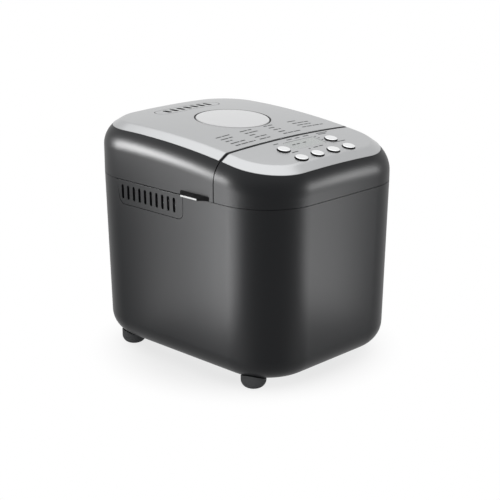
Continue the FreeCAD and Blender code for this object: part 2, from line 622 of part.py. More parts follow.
def oven():
    outside = rounded_block("oven_outside", "oven_width + 2*sheet", "oven_depth + 2*sheet",
                            "oven_corner + sheet",
                            ("oven_floor", "flange_top"), y="oven_y")
    inside = rounded_block("oven_hollow", "oven_width", "oven_depth", "oven_corner",
                           ("oven_inside", f"flange_top + {BEYOND}"), y="oven_y")
    flange = rounded_block("oven_rim", "oven_width + 2*oven_flange", "oven_depth + 2*oven_flange",
                           "oven_corner + oven_flange", ("deck_top", "flange_top"), y="oven_y")
    front = "oven_y - oven_depth/2"
    wall_span = (f"{front} - sheet - {BEYOND}", f"{front} + {BEYOND}")
    holes = [cylinder("shaft_hole", "bush_radius", "0", "oven_y",
                      (f"oven_floor - {BEYOND}", f"oven_inside + {BEYOND}"))]
    for _, sign in SIDES:
        holes.append(rod_y("terminal_hole", "heater_radius", f"{sign}*terminal_x", wall_span,
                           "heater_height"))
    holes.append(rod_y("sensor_hole", "sensor_radius", "sensor_x", wall_span, "sensor_height"))
    keep("oven_chamber", cut("oven", fuse("oven_body", outside, flange), inside, *holes))
    sensor_end = f"{front} + sensor_length/2"
    keep("temperature_sensor", rod_y("sensor", "sensor_radius", "sensor_x",
                                     (f"{front} - sensor_length/2", sensor_end), "sensor_height"))


def heating_element():
    """Tube bent round the foot of the pan, with its two cold ends through the oven's front wall."""
    width = "oven_width - 2*heater_gap - 2*heater_radius"
    depth = "oven_depth - 2*heater_gap - 2*heater_radius"
    body = new_body("heater_loop")
    path = sketch_on(body, "XY_Plane", "0", "oven_y", "heater_height")
    rounded_rectangle(path, width, depth, "heater_corner")
    section = sketch_on(body, "XZ_Plane", f"-({width})/2", "heater_height", "-oven_y")
    ring = section.addGeometry(Part.Circle(FreeCAD.Vector(), Z_AXIS, val("heater_radius")))
    section.addConstraint(Sketcher.Constraint("Coincident", ring, 3, -1, 1))
    dimension(section, "Radius", (ring,), "heater_radius")
    pipe = body.newObject("PartDesign::AdditivePipe", "heater_pipe")
    pipe.Profile = section
    pipe.Spine = (path, [])
    inner = f"oven_y - ({depth})/2"
    ends = [rod_y("heater_end", "heater_radius", f"{sign}*terminal_x", (f"{inner} - terminal_length", inner),
                  "heater_height") for _, sign in SIDES]
    keep("heating_element", fuse("heater", body, *ends))


def pan_seat():
    """Plate on the oven floor with a collar that takes the pan's foot ring."""
    collar_in = "foot_ring_radius + seat_fit"
    plate = cylinder("seat_plate_disc", f"{collar_in} + seat_wall", "0", "oven_y",
                     ("oven_inside", "seat_top"))
    collar = cylinder("seat_collar", f"{collar_in} + seat_wall", "0", "oven_y",
                      ("seat_top", "oven_inside + seat_rise"))
    hollow = cylinder("seat_hollow", collar_in, "0", "oven_y",
                      ("seat_top", f"oven_inside + seat_rise + {BEYOND}"))
    middle = cylinder("seat_hole", "foot_ring_radius - 2*foot_ring_wall", "0", "oven_y",
                      (f"oven_inside - {BEYOND}", f"seat_top + {BEYOND}"))
    keep("pan_seat", cut("seat", fuse("seat_body", plate, collar), hollow, middle))


def lid_shell_and_plate():
    region = box("lid_region", ACROSS, ("lid_front", REAR_END), ("lid_low", ABOVE_TOP))
    plate_region = box("lid_plate_region", ACROSS, ("lid_front + plate_setback", REAR_END),
                       ("seam_height", ABOVE_TOP))
    raw_plate = common("lid_plate_sheet", plate_skin, plate_outline, plate_region)
    window = window_disc("window_opening", "window_hole", f"-2*wall - {BEYOND}", f"{BEYOND}")
    plate_window = window_disc("plate_window_opening", "window_radius", f"-wall - {BEYOND}", f"{BEYOND}")
    grille = rounded_block("grille_outline", "grille_length", "grille_width", "grille_corner",
                           ("dome_roof", ABOVE_TOP), y="grille_y")
    front_wall = common("lid_front_wall", top_outside,
                        box("lid_front_slab", ACROSS, ("lid_front", "lid_front + wall"),
                            ("lid_low", ABOVE_TOP)))
    bosses = []
    for _, sign in SIDES:
        for place_name in ("front", "rear"):
            column = cylinder("lid_boss_column", "boss_radius", f"{sign}*boss_{place_name}_x",
                              f"boss_{place_name}_y",
                              ("liner_height + liner_thickness", ABOVE_TOP))
            bosses.append(common("lid_boss", column, top_inside))
    knuckles = []
    notches = []
    bores = []
    for _, sign in SIDES:
        middle = f"{sign}*lug_x"
        near = "lug_length/2 + lug_gap"
        far = "lug_length/2 + lug_gap + knuckle_length"
        knuckles.append(rod_x("lid_knuckle", "knuckle_radius",
                              (f"{middle} - ({far})", f"{middle} - ({near})"),
                              "hinge_y", "hinge_z"))
        knuckles.append(rod_x("lid_knuckle", "knuckle_radius", (f"{middle} + {near}", f"{middle} + {far}"),
                              "hinge_y", "hinge_z"))
        notches.append(box("lug_notch", (f"{middle} - ({near})", f"{middle} + {near}"),
                           ("hinge_y - 2*knuckle_radius", REAR_END), ("seam_height", "hinge_z + notch_rise")))
        bores.append(rod_x("knuckle_bore", "pin_radius + running_clearance",
                           (f"{middle} - ({far}) - {BEYOND}", f"{middle} + {far} + {BEYOND}"), "hinge_y",
                           "hinge_z"))
    body = fuse("lid_body", common("lid_skin", top_skin, region), front_wall, *bosses, *knuckles)
    keep("lid_shell", cut("lid", body, raw_plate, window, grille, *notches, *bores))
    keep("lid_plate", cut("lid_sheet", raw_plate, plate_window, grille))
    slots = []
    for number in range(GRILLE_SLOTS):
        x = f"{number - GRILLE_SLOTS // 2}*grille_slot_pitch"
        slots.append(box("grille_slot", (f"{x} - grille_slot_width/2", f"{x} + grille_slot_width/2"),
                         ("grille_y - grille_slot_length/2", "grille_y + grille_slot_length/2"),
                         ("dome_roof", ABOVE_TOP)))
    keep("rear_vent_grille", cut("grille", common("grille_sheet", top_skin, grille), *slots))


def lid_liner_and_seal():
    roof = "dome_roof + liner_thickness"
    flange = common("liner_flange", top_inside,
                    box("liner_level", ACROSS, ("lid_front + wall", "hinge_y - liner_hinge_room"),
                        ("liner_height", "liner_height + liner_thickness")))
    dome = rounded_block("dome_outside", "dome_width + 2*liner_thickness", "dome_depth + 2*liner_thickness",
                         "dome_corner + liner_thickness", ("liner_height", roof), y="oven_y")
    hollow = rounded_block("dome_hollow", "dome_width", "dome_depth", "dome_corner",
                           (f"liner_height - {BEYOND}", "dome_roof"), y="oven_y")
    opening = cylinder("glass_hole", "glass_opening", "0", "window_y", ("liner_height", f"{roof} + {BEYOND}"))
    holes = []
    screws = []
    for _, sign in SIDES:
        for place_name in ("front", "rear"):
            x = f"{sign}*boss_{place_name}_x"
            y = f"boss_{place_name}_y"
            holes.append(cylinder("liner_screw_hole", "screw_radius + hole_clearance", x, y,
                                  (f"liner_height - {BEYOND}", f"liner_height + liner_thickness + {BEYOND}")))
            head = cylinder("liner_screw_head", "screw_head_radius", x, y,
                            ("liner_height - screw_head_height", "liner_height"))
            shank = cylinder("liner_screw_shank", "screw_radius", x, y,
                             ("liner_height", "liner_height + liner_thickness"))
            screws.append(fuse("liner_screw", head, shank))
    keep("lid_liner", cut("liner", fuse("liner_body", flange, dome), hollow, opening, *holes))
    keep("lid_screws", group("liner_screws", *screws))
    keep("inner_glass", cylinder("glass", "glass_radius", "0", "window_y",
                                 (roof, f"{roof} + glass_thickness")))
    keep("lid_seal", rounded_ring("seal", "oven_width + 2*seal_offset", "oven_depth + 2*seal_offset",
                                  "oven_corner + seal_offset", "seal_width",
                                  ("flange_top + seal_gap", "liner_height"),
                                  y="oven_y"))


def window_pieces():
    """Ring of the viewing window, let into the lid's plate, and the lens that rests on its ledge."""
    tube = window_disc("ring_tube", "window_hole", "-ring_depth", "ring_height")
    collar = window_disc("ring_collar", "window_radius", "-wall", "ring_height")
    bore = window_disc("ring_bore", "lens_radius", "-lens_depth", f"ring_height + {BEYOND}")
    opening = window_disc("ring_opening", "window_ledge", f"-ring_depth - {BEYOND}",
                          f"ring_height + {BEYOND}")
    raw = cut("ring_whole", fuse("ring_body", tube, collar), bore, opening)
    keep("window_ring", cut("ring", raw, parts["lid_plate"], parts["lid_shell"]))
    keep("window_lens", window_disc("window_pane", "lens_radius", "-lens_depth", "lens_rise"))


def lid_tabs():
    """Finger tabs that stand out from the lower side edges of the lid."""
    for side, sign in SIDES:
        body = new_body(f"tab_{side}")
        outline = sketch_on(body, "XY_Plane", z="lid_low")
        inner = f"{sign}*body_width/2"
        outer = f"{sign}*(body_width/2 + tab_reach)"
        polygon(outline, [(inner, "tab_front"), (outer, "tab_front + tab_front_slant"),
                          (outer, "tab_rear - tab_rear_slant"), (inner, "tab_rear")])
        pad(body, outline, "tab_height")
        keep(f"lid_tab_{side}", body)


def bread_pan():
    outside = rounded_block("pan_outside", "pan_width", "pan_depth", "pan_corner",
                            ("pan_floor", "pan_rim"), y="oven_y")
    hollow = rounded_block("pan_hollow", "pan_width - 2*pan_wall", "pan_depth - 2*pan_wall",
                           "pan_corner - pan_wall",
                           ("pan_floor + pan_wall", f"pan_rim + {BEYOND}"), y="oven_y")
    rim = rounded_block("pan_lip", "pan_width + 2*rim_width", "pan_depth + 2*rim_width",
                        "pan_corner + rim_width",
                        ("pan_rim - rim_thickness", "pan_rim"), y="oven_y")
    foot_low = "seat_top + seat_gap"
    foot = cylinder("pan_foot", "foot_ring_radius", "0", "oven_y", (foot_low, "pan_floor"))
    foot_hollow = cylinder("pan_foot_hollow", "foot_ring_radius - foot_ring_wall", "0", "oven_y",
                           (f"{foot_low} - {BEYOND}", "pan_floor"))
    hole = cylinder("pan_shaft_hole", "pan_bush_radius", "0", "oven_y",
                    ("pan_floor", f"pan_floor + pan_wall + {BEYOND}"))
    studs = []
    for side, sign in SIDES:
        ends = [f"{sign}*(pan_width/2 - pan_wall/2)", f"{sign}*(pan_width/2 + stud_reach)"]
        studs.append(rod_x(f"pan_stud_{side}", "stud_radius", ends[::sign], "oven_y", "stud_z"))
    keep("bread_pan", cut("pan", fuse("pan_body", outside, rim, foot, *studs), hollow, foot_hollow, hole))
    bush = cylinder("pan_bush_body", "pan_bush_radius", "0", "oven_y",
                    ("pan_floor - pan_bush_drop", "pan_floor + pan_bush_rise"))
    bore = cylinder("pan_bush_bore", "pan_shaft_radius + running_clearance", "0", "oven_y",
                    (f"pan_floor - pan_bush_drop - {BEYOND}", f"pan_floor + pan_bush_rise + {BEYOND}"))
    keep("pan_bush", cut("pan_bush_turned", bush, bore))


def pan_handle():
    """Wire bail with an eye on each stud of the pan; at rest it lies forward round the pan's rim."""
    middle = "eye_start + eye_thickness/2"
    front = "oven_y - bail_reach"
    bend = "eye_start + eye_thickness/2 - bail_bend"
    pieces = [rod_x("bail_grip", "bail_radius", (f"-({bend})", bend), front, "stud_z")]
    bores = []
    for side, sign in SIDES:
        x = f"{sign}*({middle})"
        span = (f"{x} - eye_thickness/2", f"{x} + eye_thickness/2")
        pieces.append(rod_x(f"bail_eye_{side}", "eye_radius", span, "oven_y", "stud_z"))
        root = "oven_y - (stud_radius + eye_radius)/2"
        pieces.append(rod_y(f"bail_leg_{side}", "bail_radius", x, (f"{front} + bail_bend", root), "stud_z"))
        knee = bind(doc.addObject("Part::Torus", f"bail_knee_{side}"),
                    {"Radius1": "bail_bend", "Radius2": "bail_radius"})
        knee.Angle3 = 90
        start = "-90" if sign > 0 else "180"
        pieces.append(place(knee, f"{sign}*({bend})", f"{front} + bail_bend", "stud_z", Z_AXIS, start))
        bores.append(rod_x(f"bail_bore_{side}", "stud_radius + running_clearance",
                           (f"{x} - eye_thickness", f"{x} + eye_thickness"), "oven_y", "stud_z"))
    keep("pan_handle", cut("bail", fuse("bail_body", *pieces), *bores))


def kneading_paddle():
    top = "paddle_low + paddle_hub_height"
    shaft = cylinder("pan_shaft_rod", "pan_shaft_radius", "0", "oven_y", ("wing_low", top))
    wing = box("pan_shaft_wing", ("-wing_half_width", "wing_half_width"),
               ("oven_y - wing_half_length", "oven_y + wing_half_length"),
               ("wing_low", "wing_low + wing_thickness"))
    keep("pan_shaft", fuse("pan_shaft_whole", shaft, wing))
    hub = cylinder("paddle_hub", "paddle_hub_radius", "0", "oven_y", ("paddle_low", top))
    body = new_body("paddle_blade")
    outline = sketch_on(body, "YZ_Plane", "oven_y", "paddle_low", "-blade_thickness/2")
    polygon(outline, [("0", "0"), ("blade_reach", "0"), ("blade_reach", "blade_tip"),
                      ("blade_reach/2", "blade_rise"), ("0", "paddle_hub_height")])
    pad(body, outline, "blade_thickness")
    bore = cylinder("paddle_bore", "pan_shaft_radius", "0", "oven_y",
                    (f"paddle_low - {BEYOND}", f"{top} + {BEYOND}"))
    keep("kneading_paddle", cut("paddle", fuse("paddle_body", hub, body), bore))


def drive():
    """Bearing under the oven floor and the shaft with its pulley below and coupling above."""
    bearing_low = "oven_floor - bearing_drop"
    flange = cylinder("bearing_plate", "bearing_flange", "0", "oven_y",
                      ("oven_floor - bearing_flange_thickness", "oven_floor"))
    tube = cylinder("bearing_tube", "bearing_radius", "0", "oven_y", (bearing_low, "oven_floor"))
    seat = cylinder("bearing_bore", "bush_radius", "0", "oven_y",
                    (f"{bearing_low} - {BEYOND}", f"oven_floor + {BEYOND}"))
    keep("bearing_housing", cut("bearing", fuse("bearing_body", flange, tube), seat))
    bush = cylinder("bush_body", "bush_radius", "0", "oven_y",
                    (f"{bearing_low} - bush_overhang", "oven_inside + bush_rise"))
    bush_bore = cylinder("bush_bore", "drive_radius + running_clearance", "0", "oven_y",
                         (f"{bearing_low} - bush_overhang - {BEYOND}", f"oven_inside + bush_rise + {BEYOND}"))
    keep("bearing_bush", cut("bush", bush, bush_bore))
    keep("drive_shaft", cylinder("shaft", "drive_radius", "0", "oven_y", ("drive_bottom", "coupling_top")))
    disc = cylinder("coupling_disc", "coupling_radius", "0", "oven_y", ("coupling_low", "coupling_top"))
    near = "wing_half_width + dog_play"
    far = "wing_half_width + dog_play + dog_width"
    dogs = []
    for _, sign in SIDES:
        x = [f"{sign}*({near})", f"{sign}*({far})"]
        y = [f"oven_y + {sign}*dog_near", f"oven_y + {sign}*dog_far"]
        dogs.append(box("coupling_dog", x[::sign], y[::sign], ("coupling_top", "coupling_top + dog_height")))
    hole = cylinder("coupling_hole", "drive_radius", "0", "oven_y",
                    (f"coupling_low - {BEYOND}", f"coupling_top + {BEYOND}"))
    keep("drive_coupling", cut("coupling", fuse("coupling_body", disc, *dogs), hole))
    pulley("driven_pulley", "driven_radius", "drive_radius", "oven_y")


def pulley(label, radius, bore, y):
    top = "pulley_bottom + pulley_height"
    wheel = cylinder(f"{label}_wheel", radius, "0", y, ("pulley_bottom", top))
    hole = cylinder(f"{label}_hole", bore, "0", y, (f"pulley_bottom - {BEYOND}", f"{top} + {BEYOND}"))
    keep(label, cut(f"{label}_turned", wheel, hole))


def belt_loop(sketch, grow):
    """Line round both pulleys, a little outside them: two arcs joined by two tangent lines."""
    large = f"driven_radius + {grow}"
    small = f"motor_pulley_radius + {grow}"
    lean = math.asin((val(large) - val(small)) / (val("oven_y") - val("motor_y")))
    rear = FreeCAD.Vector(0, val("oven_y"), 0)
    front = FreeCAD.Vector(0, val("motor_y"), 0)
    rear_arc = sketch.addGeometry(
        Part.ArcOfCircle(Part.Circle(rear, Z_AXIS, val(large)), -lean, math.pi + lean))
    front_arc = sketch.addGeometry(
        Part.ArcOfCircle(Part.Circle(front, Z_AXIS, val(small)), math.pi + lean, 2 * math.pi - lean))
    left = sketch.addGeometry(
        Part.LineSegment(sketch.Geometry[rear_arc].EndPoint, sketch.Geometry[front_arc].StartPoint))
    right = sketch.addGeometry(
        Part.LineSegment(sketch.Geometry[front_arc].EndPoint, sketch.Geometry[rear_arc].StartPoint))
    for joint in ((rear_arc, 2, left, 1), (left, 2, front_arc, 1), (front_arc, 2, right, 1),
                  (right, 2, rear_arc, 1)):
        sketch.addConstraint(Sketcher.Constraint("Tangent", *joint))
    for arc, radius, y in ((rear_arc, large, "oven_y"), (front_arc, small, "motor_y")):
        sketch.addConstraint(Sketcher.Constraint("PointOnObject", arc, 3, -2))
        dimension(sketch, "Radius", (arc,), radius)
        dimension(sketch, "DistanceY", (-1, 1, arc, 3), y)


def drive_belt():
    body = new_body("belt")
    outline = sketch_on(body, "XY_Plane", z="pulley_bottom + belt_inset")
    belt_loop(outline, "belt_clearance + belt_thickness")
    belt_loop(outline, "belt_clearance")
    pad(body, outline, "pulley_height - 2*belt_inset")
    keep("drive_belt", body)


def motor():
    motor_top = "motor_low + motor_height"
    plate = rounded_block("bracket_plate", "bracket_width", "bracket_depth", "bracket_corner",
                          ("bracket_height", "motor_low"), y="motor_y")
    legs = [cylinder("bracket_leg", "leg_radius", f"{sx}*leg_x", f"motor_y + {sy}*leg_y",
                     ("base_top", "bracket_height"))
            for sx in (-1, 1) for sy in (-1, 1)]
    hole = cylinder("bracket_opening", "bracket_hole", "0", "motor_y",
                    (f"bracket_height - {BEYOND}", f"motor_low + {BEYOND}"))
    keep("motor_bracket", cut("bracket", fuse("bracket_body", plate, *legs), hole))
    case = cylinder("stator_case", "motor_radius", "0", "motor_y", ("motor_low", motor_top))
    hollow = cylinder("stator_hollow", "rotor_radius + rotor_gap", "0", "motor_y",
                      ("rotor_low - rotor_gap", "rotor_low + rotor_height + rotor_gap"))
    bore = cylinder("stator_bore", "motor_shaft_radius + running_clearance", "0", "motor_y",
                    (f"motor_low - {BEYOND}", f"{motor_top} + {BEYOND}"))
    keep("motor_stator", cut("stator", case, hollow, bore))
    core = cylinder("rotor_core", "rotor_radius", "0", "motor_y", ("rotor_low", "rotor_low + rotor_height"))
    shaft = cylinder("rotor_shaft", "motor_shaft_radius", "0", "motor_y",
                     ("drive_bottom", f"{motor_top} + shaft_overhang"))
    keep("motor_rotor", fuse("rotor", core, shaft))
    pulley("motor_pulley", "motor_pulley_radius", "motor_shaft_radius", "motor_y")


def power_board():
    board = rounded_block("power_sheet", "power_width", "power_depth", "display_corner",
                          ("board_top", "board_top + board_thickness"), "power_x + power_width/2",
                          "power_y + power_depth/2")
    pillars = []
    for sx in (0, 1):
        for sy in (0, 1):
            x = f"power_x + leg_radius + {sx}*(power_width - 2*leg_radius)"
            y = f"power_y + leg_radius + {sy}*(power_depth - 2*leg_radius)"
            pillars.append(cylinder("power_pillar", "post_radius", x, y, ("base_top", "board_top")))
    keep("power_board", fuse("power", board, *pillars))
    top = "board_top + board_thickness"
    relay = box("relay", ("power_x + leg_radius", "power_x + power_width/2"),
                ("power_y + leg_radius", "power_y + power_depth/2"), (top, f"{top} + relay_height"))
    cans = [cylinder("capacitor", "capacitor_radius", f"power_x + power_width/2 + {sign}*capacitor_spread",
                     "power_y + power_depth - 2*capacitor_radius", (top, f"{top} + capacitor_height"))
            for _, sign in SIDES]
    keep("power_components", group("components", relay, *cans))


def cord_inlet():
    """Bushing in the tub's rear wall where a mains lead would enter."""
    outer = "body_depth/2 - tub_taper + inlet_proud"
    neck = rod_y("inlet_neck", "inlet_radius", "inlet_x",
                 ("body_depth/2 - tub_taper - inlet_depth", outer), "inlet_height")
    flange = rod_y("inlet_collar", "inlet_flange", "inlet_x", ("body_depth/2 - 2*tub_taper", outer),
                   "inlet_height")
    outside = cut("inlet_collar_trimmed", flange, tub_outside)
    bore = rod_y("inlet_bore_tool", "inlet_bore", "inlet_x", ("body_depth/2 - 3*inlet_depth", REAR_END),
                 "inlet_height")
    keep("cord_inlet", cut("inlet", fuse("inlet_body", neck, outside), bore))


vent_outlines = {side: vent_outline(side, sign) for side, sign in SIDES}
outer_tub(vent_outlines.values())
for side, sign in SIDES:
    side_vent(side, sign, vent_outlines[side])
base_plate()
base_screws()
feet()
front_housing_and_fascia()
control_electronics()
buttons()
deck()
oven()
heating_element()
pan_seat()
lid_shell_and_plate()
lid_liner_and_seal()
window_pieces()
lid_tabs()
bread_pan()
pan_handle()
kneading_paddle()
drive()
drive_belt()
motor()
power_board()
cord_inlet()
doc.recompute()

faults = [item.Name for item in doc.Objects if {"Invalid", "Error"} & set(item.State)]
for label, item in parts.items():
    if item.Shape.isNull() or not item.Shape.isValid() or not item.Shape.Solids:
        faults.append(label)
if faults:
    raise RuntimeError(f"failed objects: {faults}")

os.makedirs("parts", exist_ok=True)
for label, item in parts.items():
    item.Shape.exportStep(f"parts/{label}.step")
    solids = len(item.Shape.Solids)
    print(f"{label}: {solids} solid{'s' if solids > 1 else ''}, {item.Shape.Volume:.0f} mm3")
print(f"{len(parts)} sub-parts")
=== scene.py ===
# %% [markdown]
# A bread machine is a plastic tub on four feet with an oven inside, a hinged lid and a control panel in
# front. The working model holds the sizes and the joints. This lesson puts the visible skin on it: painted
# shells, silver plates, a frosted window, chrome buttons and the marks beside them.

# %% Load the working model
import json
import math

import bmesh
import bpy
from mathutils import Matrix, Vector

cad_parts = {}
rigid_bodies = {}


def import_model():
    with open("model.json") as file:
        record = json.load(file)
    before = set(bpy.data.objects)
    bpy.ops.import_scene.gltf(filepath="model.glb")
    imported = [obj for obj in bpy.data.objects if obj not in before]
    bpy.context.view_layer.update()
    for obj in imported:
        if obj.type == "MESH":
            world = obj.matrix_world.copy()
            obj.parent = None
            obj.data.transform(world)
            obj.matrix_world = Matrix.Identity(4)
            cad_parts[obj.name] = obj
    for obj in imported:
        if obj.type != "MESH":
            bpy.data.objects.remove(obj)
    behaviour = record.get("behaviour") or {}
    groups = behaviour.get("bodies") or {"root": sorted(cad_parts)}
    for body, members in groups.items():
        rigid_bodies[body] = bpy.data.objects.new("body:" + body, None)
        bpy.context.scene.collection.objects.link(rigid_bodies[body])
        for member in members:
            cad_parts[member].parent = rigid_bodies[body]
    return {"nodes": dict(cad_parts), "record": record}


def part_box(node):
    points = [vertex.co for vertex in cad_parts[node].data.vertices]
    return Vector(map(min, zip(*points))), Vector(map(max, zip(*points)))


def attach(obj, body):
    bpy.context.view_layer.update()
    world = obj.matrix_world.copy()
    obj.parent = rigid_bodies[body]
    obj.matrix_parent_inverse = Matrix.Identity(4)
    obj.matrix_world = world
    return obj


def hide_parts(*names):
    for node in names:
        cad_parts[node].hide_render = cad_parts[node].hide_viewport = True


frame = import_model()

MM = 0.001
scene = bpy.context.scene
nodes = frame["nodes"]
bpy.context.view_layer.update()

# %% [markdown]
# Every piece starts from the same few measures: the outline of the body, the height of the seam between tub
# and lid, and the arcs of the top. They could all be typed in, but most are read from the boxes of the
# solids, so the skin stays where the solids are. The top also falls a little to the sides, which the
# photograph shows and the working model leaves flat.

# %% Measures of the machine, in metres
tub_low, tub_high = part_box("outer_tub")
lid_low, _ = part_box("lid_shell")
plate_low, plate_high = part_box("lid_plate")
_, housing_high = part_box("front_housing")
_, fascia_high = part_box("control_fascia")

WIDTH = tub_high.x - tub_low.x
DEPTH = -2 * tub_low.y
SEAM = tub_high.z
TUB_BOTTOM = tub_low.z
SEAM_GAP = 0.5 * MM
LID_FRONT = lid_low.y
SPLIT = housing_high.y
PLATE_FRONT = plate_low.y
FASCIA_REAR = fascia_high.y
CROWN_TOP = plate_high.z
RIM_INSET = plate_low.x - tub_low.x
CORNER = 70 * MM
TAPER = 4 * MM
BOTTOM_ROUND = 30 * MM
WALL = 2.5 * MM
SHOULDER = 30 * MM
CROWN_Y = 90 * MM
CROWN_RADIUS = 1160 * MM
CROSS_RADIUS = 1711 * MM


def crown(y, x=0.0):
    """Height of the top: a long arc from front to back and a flatter one from side to side."""
    along = CROWN_TOP - CROWN_RADIUS + math.sqrt(CROWN_RADIUS ** 2 - (y - CROWN_Y) ** 2)
    return along - x ** 2 / (2 * CROSS_RADIUS)


def slope(y):
    """Lean of the top at a distance from front to back, in radians."""
    return math.asin((CROWN_Y - y) / CROWN_RADIUS)


def inset_at(x, y):
    """How far a point lies inside the body's rounded outline."""
    across = abs(x) - (WIDTH / 2 - CORNER)
    along = abs(y) - (DEPTH / 2 - CORNER)
    outside = math.hypot(max(across, 0), max(along, 0)) + min(max(across, along), 0)
    return CORNER - outside


print("outline, mm:", round(WIDTH / MM, 1), round(DEPTH / MM, 1), "seam at", round(SEAM / MM, 1))

# %% [markdown]
# The operators work on what is selected, as they do by hand, so a few small helpers keep that in order.
# They start a primitive alone, open and leave edit mode, select by place, apply a modifier, and give a
# piece its finish. The same steps could be written out for each piece, but one forgotten deselect would
# then change the wrong mesh.

# %% Modelling helpers
UPWARD, LEVEL, FLAT = 0.3, 0.9, 0.99  # least upward part of the normal of a face
SHARP_EDGE = 1.0  # least angle between the faces of an edge, in radians
SHARP_CORNER = math.radians(50)
MANY_SIDES = 8


def start(name, primitive, **settings):
    """Add a primitive with nothing else selected, and name it."""
    bpy.ops.object.select_all(action="DESELECT")
    primitive(**settings)
    piece = bpy.context.active_object
    piece.name = name
    piece.data.name = name
    return piece


def only(piece):
    """Make one piece the selected and active one."""
    bpy.ops.object.select_all(action="DESELECT")
    piece.select_set(True)
    bpy.context.view_layer.objects.active = piece


def edit(piece):
    """Open a piece in edit mode."""
    only(piece)
    bpy.ops.object.mode_set(mode="EDIT")


def leave():
    """Go back to object mode."""
    bpy.ops.object.mode_set(mode="OBJECT")


def pick(piece, kind, test):
    """In edit mode, select only the vertices, edges or faces that pass a test, and count them."""
    bpy.ops.mesh.select_mode(type=kind)
    bpy.ops.mesh.select_all(action="DESELECT")
    mesh = bmesh.from_edit_mesh(piece.data)
    items = {"VERT": mesh.verts, "EDGE": mesh.edges, "FACE": mesh.faces}[kind]
    chosen = [item for item in items if test(item)]
    for item in chosen:
        item.select_set(True)
    mesh.select_flush_mode()
    bmesh.update_edit_mesh(piece.data)
    return len(chosen)


def middle(item):
    """Middle of an edge or a face."""
    return sum((v.co for v in item.verts), Vector()) / len(item.verts)


def modify(piece, kind, **settings):
    """Add a modifier with its settings and apply it."""
    only(piece)
    made = piece.modifiers.new(kind.lower(), kind)
    for name, value in settings.items():
        setattr(made, name, value)
    bpy.ops.object.modifier_apply(modifier=made.name)


def soften(piece, width, segments):
    """Round the sharp edges of a piece."""
    modify(piece, "BEVEL", width=width, segments=segments, limit_method="ANGLE", angle_limit=SHARP_CORNER)


def cut(piece, *tools):
    """Take the shape of each tool out of a piece."""
    for tool in tools:
        modify(piece, "BOOLEAN", operation="DIFFERENCE", solver="EXACT", object=tool)
        bpy.data.objects.remove(tool)


def settle(piece):
    """Put a piece's place and turn into its mesh, with its object at the origin."""
    only(piece)
    bpy.ops.object.transform_apply(location=True, rotation=True, scale=True)


def copy_of(piece, name):
    """Copy of a piece with a mesh of its own."""
    made = piece.copy()
    made.data = piece.data.copy()
    made.name = name
    made.data.name = name
    scene.collection.objects.link(made)
    return made


def dress(piece, material, body, slot, *stands_for, angle=35):
    """Finish a piece: smooth shading, calm normals, its material and the body it moves with; the nodes it stands
    for are hidden.
    """
    only(piece)
    bpy.ops.object.shade_smooth_by_angle(angle=math.radians(angle))
    modify(piece, "WEIGHTED_NORMAL", keep_sharp=True)
    piece.data.materials.clear()
    piece.data.materials.append(material)
    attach(piece, body)
    for node in stands_for:
        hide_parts(node)
    print(piece.name, len(piece.data.polygons), "faces")
    return piece


# %% [markdown]
# The materials come next. Each is a Principled shader with a fine pattern for its grain. One function adds
# a node with its settings and links, and one turns an sRGB colour, written as hex, to the linear values
# that Blender uses.

# %% Material helpers
def colour(code):
    """Linear colour of an sRGB hex value."""
    parts = [int(code[i:i + 2], 16) / 255 for i in (1, 3, 5)]
    linear = [v / 12.92 if v <= 0.04045 else ((v + 0.055) / 1.055) ** 2.4 for v in parts]
    return (*linear, 1)


def add(tree, kind, inputs=(), **settings):
    """Add a node to a tree, set it up and link the inputs that are given as sockets."""
    made = tree.nodes.new(kind)
    for name, value in settings.items():
        setattr(made, name, value)
    for name, value in dict(inputs).items():
        if isinstance(value, bpy.types.NodeSocket):
            tree.links.new(value, made.inputs[name])
        else:
            made.inputs[name].default_value = value
    return made


def per(size):
    """Texture scale of a pattern whose features are this many millimetres apart."""
    return 1 / (size * MM)


def surface(name, low, high, grain, rough, bump=0.0, stretch=(1, 1, 1), pattern="ShaderNodeTexNoise", **sockets):
    """Material whose colour and roughness wander between two values with a grain of a real size in mm."""
    made = bpy.data.materials.new(name)
    made.use_nodes = True
    tree = made.node_tree
    shader = tree.nodes["Principled BSDF"]
    place = add(tree, "ShaderNodeTexCoord")
    turned = add(tree, "ShaderNodeMapping", {"Vector": place.outputs["Object"], "Scale": stretch})
    texture = add(tree, pattern, {"Vector": turned.outputs["Vector"], "Scale": per(grain)})
    amount = texture.outputs[0]
    tint = add(tree, "ShaderNodeMix", {"Factor": amount, "A": colour(low), "B": colour(high)}, data_type="RGBA")
    spread = add(tree, "ShaderNodeMapRange", {"Value": amount, "To Min": rough[0], "To Max": rough[1]})
    tree.links.new(tint.outputs["Result"], shader.inputs["Base Color"])
    tree.links.new(spread.outputs["Result"], shader.inputs["Roughness"])
    if bump:
        dent = add(tree, "ShaderNodeBump", {"Height": amount, "Distance": bump * MM})
        tree.links.new(dent.outputs["Normal"], shader.inputs["Normal"])
    for socket, value in sockets.items():
        shader.inputs[socket.replace("_", " ").title().replace("Ior", "IOR")].default_value = value
    return made


# %% [markdown]
# The finishes that show are few. The shells have a satin paint whose fine orange peel makes a wide soft
# highlight. The plates and the buttons are metal, so they take their brightness from the white room. A
# photographed texture would also do, but a procedural grain has a real size and stays sharp close by.

# %% Finishes outside
# Sprayed paint: the fine peel spreads each lamp into a broad sheen on the dark shell.
graphite = surface("graphite_satin_paint", "#1d1e20", "#232426", 0.9, (0.36, 0.41), bump=0.003,
                   specular_ior_level=0.12)
# Rolled and blasted sheet: an even silver that shows the room only as a blur.
silver = surface("silver_satin_sheet", "#a8a9aa", "#afb0b1", 0.8, (0.28, 0.34), bump=0.003, metallic=1.0)
# Spark-eroded mould: a fine grain keeps the small black parts dull.
dark_plastic = surface("black_moulded_plastic", "#161617", "#1d1d1e", 0.6, (0.42, 0.52), bump=0.01,
                       specular_ior_level=0.1)
